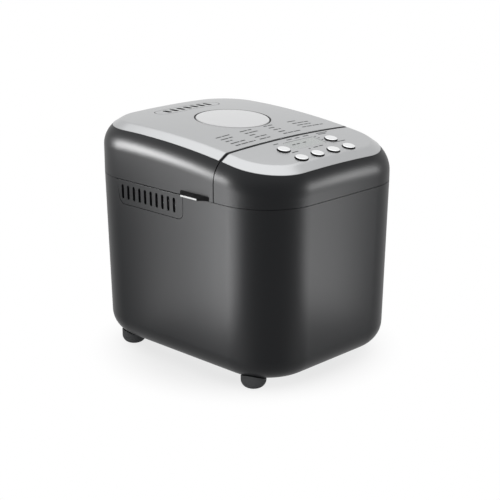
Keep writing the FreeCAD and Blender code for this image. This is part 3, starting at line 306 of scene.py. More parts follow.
# Moulded rubber: almost no sheen, with a dusty grain.
rubber = surface("moulded_rubber", "#5c5d5e", "#656667", 0.7, (0.62, 0.74), bump=0.03, specular_ior_level=0.05)
# Plated plastic: a mirror with only a slight haze.
chrome = surface("chrome_plate", "#e6e7e8", "#eceded", 3.0, (0.06, 0.1), metallic=1.0)
# Frosted pane: pale and milky, with a soft sheen.
frost = surface("frosted_window", "#e9eaeb", "#efefef", 1.2, (0.3, 0.38), specular_ior_level=0.12)
# Display cover: smooth and pale grey.
display_glass = surface("display_pane_glass", "#c3c6c5", "#cacdcc", 2.0, (0.25, 0.3), specular_ior_level=0.12)
# Screen print: flat ink with a slightly uneven edge to its tone.
ink = surface("grey_print", "#48494a", "#525354", 0.5, (0.5, 0.6), specular_ior_level=0.1)

# %% [markdown]
# Inside, the machine is bare metal, rubber and circuit board, which show when the lid is open or the base
# is off. They could share one grey, but zinc, ground steel and cast aluminium are told apart by their grain
# more than by their colour, so each gets a grain of its own.

# %% Finishes inside
# Zinc plate: large pale crystals that catch the light differently.
zinc = surface("zinc_plated_sheet", "#a9acae", "#c2c4c6", 9.0, (0.3, 0.46), pattern="ShaderNodeTexVoronoi",
               metallic=0.9)
# Ground steel: fine lines round the pins and shafts.
ground_steel = surface("ground_steel", "#b4b6b8", "#c6c8ca", 0.5, (0.16, 0.28), stretch=(1, 1, 8), metallic=1.0)
# Heater tube: oxidised brown-black steel.
heater_sheath = surface("oxidised_heater_steel", "#3a3430", "#4a423c", 3.0, (0.45, 0.6), metallic=0.7)
# Non-stick coat: dark with a fine speckle.
pan_coat = surface("speckled_non_stick_coat", "#232324", "#343436", 0.8, (0.36, 0.48), bump=0.006)
# Sintered bronze: warm metal with small pores.
bronze = surface("sintered_bronze", "#94662f", "#b07f43", 0.7, (0.34, 0.5), bump=0.01, metallic=1.0)
# Cast aluminium: matt and slightly mottled.
cast_aluminium = surface("cast_aluminium", "#a4a6a8", "#b6b8ba", 2.5, (0.38, 0.52), bump=0.01, metallic=1.0)
# Motor iron: grey lacquer with the lines of the stacked sheets.
motor_iron = surface("lacquered_motor_iron", "#56585b", "#66686b", 1.0, (0.42, 0.55), stretch=(0.05, 0.05, 1),
                     metallic=0.6)
# Belt: black rubber with fine ribs along its length.
belt_rubber = surface("ribbed_belt_rubber", "#19191a", "#232324", 1.5, (0.6, 0.72), bump=0.05,
                      stretch=(0.05, 0.05, 1))
# Seal: grey silicone with a dull skin.
silicone = surface("silicone_seal", "#5c5c5d", "#686869", 1.2, (0.5, 0.6), bump=0.01)
# Circuit board: green varnish over a faint weave.
circuit_board = surface("green_circuit_board", "#1b4d2c", "#256038", 1.6, (0.28, 0.4), bump=0.01)
# Component cases: black resin.
component_case = surface("black_component_case", "#1b1b1e", "#26262a", 0.8, (0.4, 0.5), bump=0.01)
# Inner window: clear glass with a green edge.
clear_glass = surface("clear_heat_glass", "#e4efea", "#eaf4ef", 6.0, (0.01, 0.03), transmission_weight=1.0,
                      ior=1.47)
print(len(bpy.data.materials), "materials")

# %% [markdown]
# The camera stands at the height and angle of the photograph, a long lens from a step and a half away. It
# could be placed by eye, but here its place and its lens were worked out from the edges of the body, so
# that the render can be laid over the photograph.

# %% Camera
AZIMUTH = math.radians(-45.95)
ELEVATION = math.radians(17.18)
DISTANCE = 1643.6 * MM
AIM = Vector((8.48, 0, 124.24)) * MM
IMAGE_SIDE = 500
FOCAL_PIXELS = 1283

back = Vector((math.sin(AZIMUTH) * math.cos(ELEVATION), -math.cos(AZIMUTH) * math.cos(ELEVATION),
               math.sin(ELEVATION)))
bpy.ops.object.select_all(action="DESELECT")
bpy.ops.object.camera_add(location=AIM + back * DISTANCE, rotation=back.to_track_quat("Z", "Y").to_euler())
camera = bpy.context.active_object
camera.data.sensor_fit = "HORIZONTAL"
camera.data.lens = camera.data.sensor_width * FOCAL_PIXELS / IMAGE_SIDE
scene.camera = camera
print("lens, mm:", round(camera.data.lens, 1))

# %% [markdown]
# The upper form is one closed shape before it is split into lid and front housing. A plane is stretched to
# the outline, its corners are rounded, and it is pulled up to the shoulder. The round shoulder is then a
# series of small insets, each a little higher than the last, so every ring keeps an even distance from the
# edge. A sloping band and a soft crease lead on to the flat, and last the top is cut into strips both ways
# and dropped onto its arcs. A block with one big bevel would be quicker, but then shoulder, band and crease
# could not each have a radius.

# %% Upper form
CORNER_STEPS = 24
SHOULDER_STEPS = 10
CREASE_STEPS = 5
CREASE_RADIUS = 10 * MM
BAND_TILT = math.radians(29)
STRIP = 8 * MM
LONG_FACE = 16 * MM


def rounded_plane(name, width, depth, radius, z):
    """Flat face with a rounded outline."""
    piece = start(name, bpy.ops.mesh.primitive_plane_add, size=1, location=(0, 0, 0))
    edit(piece)
    bpy.ops.transform.resize(value=(width, depth, 1))
    bpy.ops.transform.translate(value=(0, 0, z))
    bpy.ops.mesh.bevel(offset=radius, segments=CORNER_STEPS, affect="VERTICES")
    leave()
    return piece


def slice_at(piece, places, test, axis=1):
    """Cut the faces that pass a test along planes square to X (axis 0) or Y (axis 1)."""
    square = Vector((axis == 0, axis == 1, 0))
    for place in places:
        pick(piece, "FACE", test)
        bpy.ops.mesh.bisect(plane_co=square * place, plane_no=square)


def reach(face, axis):
    """How far a face runs along an axis."""
    places = [v.co[axis] for v in face.verts]
    return max(places) - min(places)


def make_upper_form():
    """Closed form of lid and front housing together."""
    foot = SEAM + SEAM_GAP
    wall_top = CROWN_TOP - SHOULDER
    piece = rounded_plane("upper_form", WIDTH, DEPTH, CORNER, foot)
    edit(piece)
    bpy.ops.mesh.select_all(action="SELECT")
    bpy.ops.mesh.extrude_region_move(TRANSFORM_OT_translate={"value": (0, 0, wall_top - foot)})
    rim_angle = math.acos(1 - RIM_INSET / SHOULDER)
    turns = [rim_angle * i / SHOULDER_STEPS for i in range(SHOULDER_STEPS + 1)]
    for now, then in zip(turns, turns[1:]):
        bpy.ops.mesh.inset(thickness=SHOULDER * (math.cos(now) - math.cos(then)),
                           depth=SHOULDER * (math.sin(then) - math.sin(now)))
    crease_rise = CREASE_RADIUS * (1 - math.cos(BAND_TILT))
    band_rise = SHOULDER * (1 - math.sin(rim_angle)) - crease_rise
    bpy.ops.mesh.inset(thickness=band_rise / math.tan(BAND_TILT), depth=band_rise)
    tilts = [BAND_TILT * (1 - i / CREASE_STEPS) for i in range(CREASE_STEPS + 1)]
    for now, then in zip(tilts, tilts[1:]):
        bpy.ops.mesh.inset(thickness=CREASE_RADIUS * (math.sin(now) - math.sin(then)),
                           depth=CREASE_RADIUS * (math.cos(then) - math.cos(now)))
    half = int(DEPTH / 2 / STRIP)
    strips = [STRIP * i for i in range(-half, half + 1)]
    for axis in (0, 1):
        slice_at(piece, strips, lambda face: reach(face, axis) > LONG_FACE, axis)
    mesh = bmesh.from_edit_mesh(piece.data)
    for vertex in mesh.verts:
        share = min((vertex.co.z - foot) / (wall_top - foot), 1)
        vertex.co.z += share * (crown(vertex.co.y, vertex.co.x) - CROWN_TOP)
    bmesh.update_edit_mesh(piece.data)
    leave()
    return piece


upper_form = make_upper_form()
print("upper form:", len(upper_form.data.polygons), "faces")

# %% [markdown]
# The lid and the front housing are the two sides of one cut across the form. Each becomes a shell by taking
# away the open bottom and giving the rest a wall. The silver plate is a copy of the faces inside the rim,
# and the shell drops a step under it, as a pressed sheet sits in a moulded recess. The two could be
# modelled apart, but only one form that is cut in two is sure to meet without a step.

# %% Split the form into shells and plates
PLATE_STEP = 1.5 * MM
PLATE_PROUD = 0.35 * MM
PLATE_MARGIN = 0.3 * MM
EDGE_ROUND = 0.9 * MM
RIM_ROUND = 0.6 * MM
FAR = DEPTH


def split_shell(name, front, rear, plate_front, plate_rear):
    """Part of the upper form between two planes, as an open shell and the plate faces that lie on it."""
    shell = copy_of(upper_form, name)
    edit(shell)
    bpy.ops.mesh.select_all(action="SELECT")
    if front > -FAR:
        bpy.ops.mesh.bisect(plane_co=(0, front, 0), plane_no=(0, 1, 0), clear_inner=True, use_fill=True)
    if rear < FAR:
        bpy.ops.mesh.bisect(plane_co=(0, rear, 0), plane_no=(0, 1, 0), clear_outer=True, use_fill=True)
    slice_at(shell, [plate_front, plate_rear], lambda face: face.normal.z > UPWARD)

    def under_plate(face):
        place = middle(face)
        inside = inset_at(place.x, place.y) > RIM_INSET and plate_front < place.y < plate_rear
        return inside and face.normal.z > UPWARD

    pick(shell, "FACE", under_plate)
    bpy.ops.mesh.duplicate()
    bpy.ops.mesh.separate(type="SELECTED")
    plate = [piece for piece in bpy.context.selected_objects if piece is not shell][0]
    pick(shell, "FACE", under_plate)
    bpy.ops.mesh.inset(thickness=PLATE_MARGIN, depth=-PLATE_STEP)
    pick(shell, "FACE", lambda face: face.normal.z < -LEVEL)
    bpy.ops.mesh.delete(type="FACE")
    leave()
    modify(shell, "SOLIDIFY", thickness=WALL, offset=-1)
    soften(shell, EDGE_ROUND, 3)
    plate.name = name + "_plate"
    edit(plate)
    bpy.ops.mesh.select_all(action="SELECT")
    bpy.ops.transform.shrink_fatten(value=PLATE_PROUD)
    leave()
    modify(plate, "SOLIDIFY", thickness=PLATE_STEP, offset=-1)
    soften(plate, RIM_ROUND, 3)
    return shell, plate


lid_skin, lid_sheet = split_shell("lid_skin", LID_FRONT, FAR, PLATE_FRONT, FAR)
housing_skin, fascia_sheet = split_shell("front_housing_skin", -FAR, SPLIT, -FAR, FASCIA_REAR)
bpy.data.objects.remove(upper_form)
print("shells:", len(lid_skin.data.polygons), len(housing_skin.data.polygons), "faces")

# %% [markdown]
# At the back the lid turns on two pins in lugs that stand up from the frame inside the tub. The lid's wall
# has a notch round each lug and a knuckle on either side of it. The notches are cut with blocks, which
# leaves cleaner walls than moving vertices would, and the knuckles are short thick tubes.

# %% Hinge notches and knuckles
HINGE_Y = DEPTH / 2 - 3.5 * MM
HINGE_Z = SEAM + 2.5 * MM
LUG_X = 40 * MM
LUG_HALF = 8.5 * MM
KNUCKLE_LENGTH = 5.5 * MM
KNUCKLE_RADIUS = 3.4 * MM
NOTCH_RISE = 5.5 * MM
PIN_ROOM = 1.55 * MM


def block(name, low, high):
    """Block between two corners."""
    low, high = Vector(low), Vector(high)
    piece = start(name, bpy.ops.mesh.primitive_cube_add, size=1, location=(low + high) / 2)
    edit(piece)
    bpy.ops.transform.resize(value=high - low)
    leave()
    return piece


def rod(name, radius, start_at, end_at, sides=48):
    """Cylinder between two points."""
    start_at, end_at = Vector(start_at), Vector(end_at)
    turn = (end_at - start_at).to_track_quat("Z", "Y").to_euler()
    return start(name, bpy.ops.mesh.primitive_cylinder_add, vertices=sides, radius=radius,
                 depth=(end_at - start_at).length, location=(start_at + end_at) / 2, rotation=turn)


def join(pieces, name):
    """Join pieces into one object."""
    bpy.ops.object.select_all(action="DESELECT")
    for piece in pieces:
        piece.select_set(True)
    bpy.context.view_layer.objects.active = pieces[0]
    bpy.ops.object.join()
    pieces[0].name = name
    return pieces[0]


knuckles = []
for side in (-1, 1):
    notch = block("notch", (side * LUG_X - LUG_HALF, HINGE_Y - 2 * KNUCKLE_RADIUS, SEAM - WALL),
                  (side * LUG_X + LUG_HALF, FAR, HINGE_Z + NOTCH_RISE))
    cut(lid_skin, notch)
    for end in (-1, 1):
        near = side * LUG_X + end * LUG_HALF
        knuckle = rod("knuckle", KNUCKLE_RADIUS, (near, HINGE_Y, HINGE_Z),
                      (near + end * KNUCKLE_LENGTH, HINGE_Y, HINGE_Z))
        cut(knuckle, rod("pin_hole", PIN_ROOM, (near - end * WALL, HINGE_Y, HINGE_Z),
                         (near + 2 * end * KNUCKLE_LENGTH, HINGE_Y, HINGE_Z)))
        settle(knuckle)
        knuckles.append(knuckle)
hinge_knuckles = join(knuckles, "hinge_knuckles")
dress(hinge_knuckles, graphite, "lid", "graphite_shell")

# %% [markdown]
# The window is a pale frosted lens, almost flush with the plate, in a dark ring that slopes down to it. The
# ring's dark colour is painted shade: it stands in for the shade of the moat and gap round the lens. The ring
# is a disc whose top is inset and pushed down, so its far side shows as a dark crescent of painted shade. The
# lens is a disc whose top is inset ten times and lifted, so that it has a soft edge and a low dome, which is
# how a moulded pane looks. Both could be spun from a profile, but a disc with insets needs no closing of its
# seam and its pole.

# %% Window
WINDOW_Y = 22 * MM
WINDOW_RADIUS = 48.4 * MM
RING_GAP = 0.05 * MM
RING_SLOPE = 1.9 * MM
RING_FALL = 1.2 * MM
LENS_RADIUS = 46.2 * MM
LENS_RISE = 0.7 * MM
LENS_DEPTH = 0.7 * MM
LENS_DOME = 0.9 * MM
LENS_EDGE = 1.1 * MM
LENS_RINGS, LENS_RING_SHARE = 10, 0.094
WINDOW_LEDGE = 3 * MM
ROUND_SIDES = 128


def on_top(y, above=0.0, x=0.0):
    """Place and turn of something that stands square on the top's arc."""
    lean = slope(y)
    spot = (x, y - above * math.sin(lean), crown(y) + above * math.cos(lean))
    return {"location": spot, "rotation": (lean, 0, 0)}


def disc(name, radius, low, high, y, x=0.0, sides=ROUND_SIDES):
    """Disc square to the top, between two heights above it."""
    return start(name, bpy.ops.mesh.primitive_cylinder_add, vertices=sides, radius=radius, depth=high - low,
                 **on_top(y, (low + high) / 2, x))


def drape(piece, y):
    """Lower a piece that was built flat at one place of the top, so that it follows the top's arcs."""
    settle(piece)
    for vertex in piece.data.vertices:
        ahead = vertex.co.y - y
        vertex.co.z += crown(vertex.co.y, vertex.co.x) - crown(y) - ahead * math.tan(slope(y))
    return piece


cut(lid_sheet, disc("window_hole", WINDOW_RADIUS, -3 * WALL, WALL, WINDOW_Y))
cut(lid_skin, disc("window_hole", WINDOW_RADIUS - WINDOW_LEDGE, -3 * WALL, WALL, WINDOW_Y))

window_ring = disc("window_ring_seat", WINDOW_RADIUS - RING_GAP, -WALL, PLATE_PROUD - RING_GAP, WINDOW_Y)
edit(window_ring)
pick(window_ring, "FACE", lambda face: face.normal.z > LEVEL)
bpy.ops.mesh.inset(thickness=RING_SLOPE, depth=-RING_FALL)
leave()
drape(window_ring, WINDOW_Y)
# the ring's dark plastic is painted shade of the moat and gap round the lens
dress(window_ring, dark_plastic, "lid", "window_frame", "window_ring")

window_lens = disc("frosted_lens", LENS_RADIUS, -LENS_DEPTH, LENS_RISE, WINDOW_Y)
edit(window_lens)
pick(window_lens, "EDGE", lambda edge: middle(edge).z > 0 and edge.calc_face_angle(0) > SHARP_EDGE)
bpy.ops.mesh.bevel(offset=LENS_EDGE, segments=5)
pick(window_lens, "FACE", lambda face: face.normal.z > FLAT and len(face.verts) > MANY_SIDES)
for step in range(LENS_RINGS):
    lift = LENS_DOME * (2 * (LENS_RINGS - step) - 1) / LENS_RINGS ** 2
    bpy.ops.mesh.inset(thickness=(LENS_RADIUS - LENS_EDGE) * LENS_RING_SHARE, depth=lift)
leave()
drape(window_lens, WINDOW_Y)
dress(window_lens, frost, "lid", "window_frost", "window_lens")

# %% [markdown]
# The rear vent is a flush bar with round ends and seven short slots: a silver face over a dark core, whose dark
# slot walls are painted shade inside the slots.
# One slot is modelled with rounded ends, an array repeats it, and the row is taken out of both layers of
# the bar. Seven cutters would do the same, but this way only one shape has to be right.

# %% Rear vent grille
GRILLE_Y = 104 * MM
GRILLE_LENGTH = 106 * MM
GRILLE_WIDTH = 25 * MM
GRILLE_SLOTS = 7
GRILLE_SLOT = Vector((6, 15)) * MM
GRILLE_PITCH = 11.7 * MM
GRILLE_GAP = 0.8 * MM
PARTING = 0.35 * MM
FACE_THICKNESS = 0.3 * MM
ROUND_END = 0.49  # share of a bar's width that its corner rounds take, a little under half


def rounded_bar(name, length, width, radius, low, high, y, x=0.0):
    """Upright block with rounded corners, square to the top."""
    piece = start(name, bpy.ops.mesh.primitive_cube_add, size=1, **on_top(y, (low + high) / 2, x))
    edit(piece)
    bpy.ops.transform.resize(value=(length, width, high - low), orient_type="LOCAL")
    pick(piece, "EDGE", lambda edge: abs(edge.verts[0].co.z - edge.verts[1].co.z) > (high - low) / 2)
    bpy.ops.mesh.bevel(offset=radius, segments=10)
    leave()
    return piece


for piece in (lid_sheet, lid_skin):
    cut(piece, rounded_bar("grille_hole", GRILLE_LENGTH, GRILLE_WIDTH, GRILLE_WIDTH * ROUND_END, -3 * WALL, WALL,
                           GRILLE_Y))


def vent_layer(name, low, high):
    """One layer of the slotted bar, between two heights."""
    layer = rounded_bar(name, GRILLE_LENGTH - 2 * GRILLE_GAP, GRILLE_WIDTH - 2 * GRILLE_GAP,
                        GRILLE_WIDTH * ROUND_END - GRILLE_GAP, low, high, GRILLE_Y)
    settle(layer)
    edit(layer)
    between = [GRILLE_PITCH * (i - GRILLE_SLOTS / 2) for i in range(GRILLE_SLOTS + 1)]
    slice_at(layer, between, lambda face: True, 0)
    leave()
    slot = rounded_bar("slot", *GRILLE_SLOT, GRILLE_SLOT.x * ROUND_END, -3 * WALL, WALL, GRILLE_Y,
                       -GRILLE_PITCH * (GRILLE_SLOTS - 1) / 2)
    settle(slot)
    modify(slot, "ARRAY", count=GRILLE_SLOTS, use_relative_offset=False, use_constant_offset=True,
           constant_offset_displace=(GRILLE_PITCH, 0, 0))
    cut(layer, slot)
    return drape(layer, GRILLE_Y)


vent_face = vent_layer("rear_vent_face", PLATE_PROUD - FACE_THICKNESS, PLATE_PROUD)
dress(vent_face, silver, "lid", "silver_plate", "rear_vent_grille")
# dark core: painted shade on the slot walls below the silver face
vent_core = vent_layer("rear_vent_core", -2 * WALL, PLATE_PROUD - FACE_THICKNESS)
dress(vent_core, dark_plastic, "lid", "dark_trim")

# %% [markdown]
# The control panel has six round buttons and a display. Each button is a black stem with a chrome cap, so
# it shows a white top over a dark side. The cap has a soft top edge and a slight crown, made by insets so
# that it stays round. All six are copies of one pair, because they would otherwise have to be kept alike by
# hand, and each pair is moved to its place on the sloping panel.

# %% Buttons and display
PANEL_Y = -118 * MM
ROW_LOWER, ROW_UPPER = -13.7 * MM, 14.7 * MM
BUTTON_INNER, BUTTON_OUTER = 14.2 * MM, 42.1 * MM
BUTTON_RADIUS = 7.6 * MM
BUTTON_HOLE = 8.5 * MM
BUTTON_RISE = 2.5 * MM
BUTTON_DEPTH = 5 * MM
CAP_THICKNESS = 0.7 * MM
CAP_ROUND, CAP_RING = 0.6 * MM, 1.9 * MM
CAP_LIFTS = (0.12 * MM, 0.08 * MM, 0.04 * MM)
BUTTON_SIDES = 72
BUTTON_PLACES = {
    "button_menu": (-BUTTON_OUTER, ROW_UPPER), "button_start": (BUTTON_OUTER, ROW_UPPER),
    "button_loaf": (-BUTTON_OUTER, ROW_LOWER), "button_colour": (-BUTTON_INNER, ROW_LOWER),
    "button_time_down": (BUTTON_INNER, ROW_LOWER), "button_time_up": (BUTTON_OUTER, ROW_LOWER),
}
DISPLAY = Vector((54, 23)) * MM
DISPLAY_ALONG = 19.7 * MM
DISPLAY_CORNER = 2 * MM
DISPLAY_ROUND, DISPLAY_SINK = 0.2 * MM, 0.1 * MM
DISPLAY_CUTS = range(-3, 4)


def on_panel(x, along, above=0.0):
    """Point on the sloping panel: along runs up it and above stands square to it."""
    lean = slope(PANEL_Y)
    return Vector((x, PANEL_Y + along * math.cos(lean) - above * math.sin(lean),
                   crown(PANEL_Y, x) + along * math.sin(lean) + above * math.cos(lean)))


def panel_hole(x, along):
    """Tool for the hole of one button."""
    return rod("button_hole", BUTTON_HOLE, on_panel(x, along, -4 * WALL), on_panel(x, along, 2 * WALL))


display_y = on_panel(0, DISPLAY_ALONG).y
for piece in (fascia_sheet, housing_skin):
    cut(piece, *[panel_hole(*spot) for spot in BUTTON_PLACES.values()])
    cut(piece, rounded_bar("display_hole", *DISPLAY, DISPLAY_CORNER, -4 * WALL, WALL, display_y))

stem = rod("button_stem", BUTTON_RADIUS, (0, 0, -BUTTON_DEPTH), (0, 0, BUTTON_RISE - CAP_THICKNESS),
           BUTTON_SIDES)
button = rod("chrome_button", BUTTON_RADIUS, (0, 0, BUTTON_RISE - CAP_THICKNESS), (0, 0, BUTTON_RISE),
             BUTTON_SIDES)
settle(stem)
settle(button)
edit(button)
pick(button, "EDGE", lambda edge: middle(edge).z > BUTTON_RISE - MM / 10 and edge.calc_face_angle(0) > SHARP_EDGE)
bpy.ops.mesh.bevel(offset=CAP_ROUND, segments=5)
pick(button, "FACE", lambda face: face.normal.z > FLAT and len(face.verts) > MANY_SIDES)
for lift in CAP_LIFTS:
    bpy.ops.mesh.inset(thickness=CAP_RING, depth=lift)
bpy.ops.mesh.select_all(action="SELECT")
bpy.ops.transform.translate(value=(0, 0, -sum(CAP_LIFTS)))
leave()
for node, (x, along) in BUTTON_PLACES.items():
    pair = copy_of(button, node + "_cap"), copy_of(stem, node + "_stem")
    for piece in pair:
        piece.location = on_panel(x, along)
        piece.rotation_euler = (slope(PANEL_Y), 0, 0)
        settle(piece)
    dress(pair[0], chrome, node, "chrome", node)
    dress(pair[1], dark_plastic, node, "dark_trim")
for piece in (button, stem):
    bpy.data.objects.remove(piece)

display = rounded_bar("display_pane", DISPLAY.x - 2 * PARTING, DISPLAY.y - 2 * PARTING, DISPLAY_CORNER - PARTING,
                      -WALL, PLATE_PROUD - DISPLAY_SINK, display_y)
settle(display)
edit(display)
slice_at(display, [STRIP * i for i in DISPLAY_CUTS], lambda face: True, 0)
leave()
soften(display, DISPLAY_ROUND, 2)
drape(display, display_y)
dress(display, display_glass, "casing", "display_dark", "display_lens")

# %% [markdown]
# The shells and plates now have all their holes, so they get their finish. Doing it earlier would be
# wasted, because each cut makes new faces. Shading smooth by angle keeps the cut edges crisp, and weighted
# normals keep the large faces calm beside small rounds.

# %% Finish the shells and plates
dress(lid_skin, graphite, "lid", "graphite_shell", "lid_shell")
dress(housing_skin, graphite, "casing", "graphite_shell", "front_housing")
dress(lid_sheet, silver, "lid", "silver_plate", "lid_plate")
dress(fascia_sheet, silver, "casing", "silver_plate", "control_fascia")

# %% [markdown]
# The tub is the lower shell. The outline is pulled down and drawn in a little, its bottom edge is rounded,
# the base is opened for the steel bottom plate, and the skin gets a wall. Two outlines could be bridged
# instead, but this way the draft is a single resize. The rear edge is lowered under the hinge.

# %% Tub
BASE_FLANGE = 8 * MM
CUT_ROUND = 0.3 * MM
RELIEF_HALF, RELIEF_DROP = 86 * MM, 1.8 * MM
VENT_FRONT, VENT_REAR, VENT_DROP, VENT_CORNER = -23 * MM, 92 * MM, 31 * MM, 9 * MM
VENT_LEAN = 5 * MM
INLET_X, INLET_Z, INLET_RADIUS = 60 * MM, 48 * MM, 6 * MM


def vent_block(name, x_low, x_high, margin):
    """Block in the outline of a side vent, drawn in by a margin, with its lower corners rounded."""
    top = SEAM + VENT_DROP if margin == 0 else SEAM - margin
    piece = block(name, (x_low, VENT_FRONT + margin, SEAM - VENT_DROP + margin),
                  (x_high, VENT_REAR - margin, top))
    settle(piece)
    edit(piece)
    half = (x_high - x_low) / 2
    pick(piece, "EDGE", lambda edge: abs(edge.verts[0].co.x - edge.verts[1].co.x) > half
         and edge.verts[0].co.z < SEAM - VENT_DROP / 2)
    bpy.ops.mesh.bevel(offset=VENT_CORNER - margin, segments=6)
    pick(piece, "VERT", lambda v: v.co.z > SEAM - VENT_DROP / 2 and v.co.y > VENT_REAR - MM)
    bpy.ops.transform.translate(value=(0, VENT_LEAN * (top - SEAM + VENT_DROP) / VENT_DROP, 0))
    leave()
    return piece


tub = rounded_plane("tub_skin", WIDTH, DEPTH, CORNER, SEAM)
edit(tub)
bpy.ops.mesh.select_all(action="SELECT")
bpy.ops.mesh.extrude_region_move(TRANSFORM_OT_translate={"value": (0, 0, TUB_BOTTOM - SEAM)})
bpy.ops.transform.resize(value=(1 - 2 * TAPER / WIDTH, 1 - 2 * TAPER / DEPTH, 1))
pick(tub, "EDGE", lambda edge: middle(edge).z < TUB_BOTTOM + MM)
bpy.ops.mesh.bevel(offset=BOTTOM_ROUND, segments=14)
bpy.ops.mesh.select_all(action="SELECT")
bpy.ops.mesh.normals_make_consistent(inside=False)
pick(tub, "FACE", lambda face: middle(face).z > SEAM - MM and abs(face.normal.z) > LEVEL)
bpy.ops.mesh.delete(type="FACE")
pick(tub, "FACE", lambda face: middle(face).z < TUB_BOTTOM + MM / 10 and abs(face.normal.z) > FLAT)
bpy.ops.mesh.inset(thickness=BASE_FLANGE)
bpy.ops.mesh.delete(type="FACE")
leave()
modify(tub, "SOLIDIFY", thickness=WALL, offset=-1)
cut(tub, vent_block("vent_hole", -WIDTH, WIDTH, 0),
    block("relief", (-RELIEF_HALF, DEPTH / 4, SEAM - RELIEF_DROP), (RELIEF_HALF, DEPTH, SEAM + WALL)),
    rod("inlet_hole", INLET_RADIUS, (INLET_X, DEPTH / 4, INLET_Z), (INLET_X, DEPTH, INLET_Z)))
soften(tub, CUT_ROUND, 2)
dress(tub, graphite, "casing", "graphite_shell", "outer_tub")

# %% [markdown]
# Each side vent is a slotted insert that fills its cut-out, with a fine parting line round it. Ten slots
# are taken out of a flat blank in one row, and only then does it lean with the tub's wall, because straight
# slots are easier to cut square.

# %% Side vents
VENT_SLOTS = 10
VENT_SLOT = Vector((4.1, 18)) * MM
VENT_SLOT_RISE = 7 * MM
VENT_PITCH = 10.3 * MM
VENT_FIRST = -7.5 * MM
VENT_THICKNESS = 2.6 * MM
VENT_MARGIN = 0.6 * MM
VENT_ROUND = 0.48


def side_vent(side):
    """Slotted insert in one wall of the tub."""
    outer = side * WIDTH / 2
    inner = outer - side * VENT_THICKNESS
    panel = vent_block("side_vent_panel", min(outer, inner), max(outer, inner), VENT_MARGIN)
    slot = block("slot", (-WIDTH, VENT_FIRST - VENT_SLOT.x / 2, SEAM - VENT_DROP + VENT_SLOT_RISE),
                 (WIDTH, VENT_FIRST + VENT_SLOT.x / 2, SEAM - VENT_DROP + VENT_SLOT_RISE + VENT_SLOT.y))
    settle(slot)
    edit(slot)
    pick(slot, "EDGE", lambda edge: abs(edge.verts[0].co.x - edge.verts[1].co.x) > WIDTH)
    bpy.ops.mesh.bevel(offset=VENT_SLOT.x * VENT_ROUND, segments=5)
    leave()
    modify(slot, "ARRAY", count=VENT_SLOTS, use_relative_offset=False, use_constant_offset=True,
           constant_offset_displace=(0, VENT_PITCH, 0))
    cut(panel, slot)
    soften(panel, CUT_ROUND, 2)
    for vertex in panel.data.vertices:
        vertex.co.x -= side * TAPER * (SEAM - vertex.co.z) / (SEAM - TUB_BOTTOM)
    return panel


for name, side in (("left", -1), ("right", 1)):
    panel = side_vent(side)
    panel.name = "side_vent_panel_" + name
    dress(panel, graphite, "casing", "graphite_shell", "side_vent_" + name)

# %% [markdown]
# A finger tab stands out from each lower side edge of the lid. It is a block with slanted ends, soft edges
# and fine ribs along its top, and a bright strip is set into its outer face. The ribs could be a bump in
# the material, but a mesh on its own shows only real faces, so they are cut and pushed in.

# %% Lid tabs
TAB_FRONT, TAB_REAR = -69 * MM, -18 * MM
TAB_REACH, TAB_HEIGHT = 8.5 * MM, 5.5 * MM
TAB_FRONT_SLANT, TAB_REAR_SLANT = 13 * MM, 9 * MM
TAB_FALL, TAB_ROUND = 2.2 * MM, 0.8 * MM
STRIP_HEIGHT, STRIP_THICKNESS = 2 * MM, 0.4 * MM
STRIP_LIFT, STRIP_ROUND = 0.4 * MM, 0.25 * MM
RIBS, RIB_FIRST, RIB_PITCH, RIB_WIDTH = 3, 2 * MM, 1.9 * MM, 0.8 * MM
RIB_EDGE, RIB_DEPTH = 0.05 * MM, 0.45 * MM
RIB_UPWARD = 0.5


def lid_tab(side, name):
    """Tab on one side of the lid, and its bright strip."""
    low = SEAM + SEAM_GAP
    wall = side * (WIDTH / 2 - MM)
    outer = side * (WIDTH / 2 + TAB_REACH - STRIP_THICKNESS)
    tab = block("lid_tab_body_" + name, (min(wall, outer), TAB_FRONT, low),
                (max(wall, outer), TAB_REAR, low + TAB_HEIGHT))
    settle(tab)
    edit(tab)
    for end, shift in ((TAB_FRONT, TAB_FRONT_SLANT), (TAB_REAR, -TAB_REAR_SLANT)):
        pick(tab, "VERT", lambda v: abs(v.co.x) > WIDTH / 2 and abs(v.co.y - end) < MM)
        bpy.ops.transform.translate(value=(0, shift, 0))
    pick(tab, "VERT", lambda v: abs(v.co.x) > WIDTH / 2 and v.co.z > low + TAB_HEIGHT / 2)
    bpy.ops.transform.translate(value=(0, 0, -TAB_FALL))
    pick(tab, "EDGE", lambda edge: abs(middle(edge).x) > WIDTH / 2 + MM)
    bpy.ops.mesh.bevel(offset=TAB_ROUND, segments=4)
    for rib in range(RIBS):
        x = side * (WIDTH / 2 + RIB_FIRST + rib * RIB_PITCH)
        slice_at(tab, [x - RIB_WIDTH / 2, x + RIB_WIDTH / 2], lambda face: face.normal.z > RIB_UPWARD, 0)
        pick(tab, "FACE", lambda face: face.normal.z > RIB_UPWARD and abs(middle(face).x - x) < RIB_WIDTH / 4)
        bpy.ops.mesh.inset(thickness=RIB_EDGE, depth=-RIB_DEPTH)
    leave()
    dress(tab, dark_plastic, "lid", "dark_trim", "lid_tab_" + name)
    face = side * (WIDTH / 2 + TAB_REACH)
    strip = block("lid_tab_strip_" + name,
                  (min(face, outer - side * MM), TAB_FRONT + TAB_FRONT_SLANT + MM, low + STRIP_LIFT),
                  (max(face, outer - side * MM), TAB_REAR - TAB_REAR_SLANT - MM, low + STRIP_LIFT + STRIP_HEIGHT))
    settle(strip)
    soften(strip, STRIP_ROUND, 3)
    dress(strip, chrome, "lid", "chrome")


for name, side in (("left", -1), ("right", 1)):
    lid_tab(side, name)

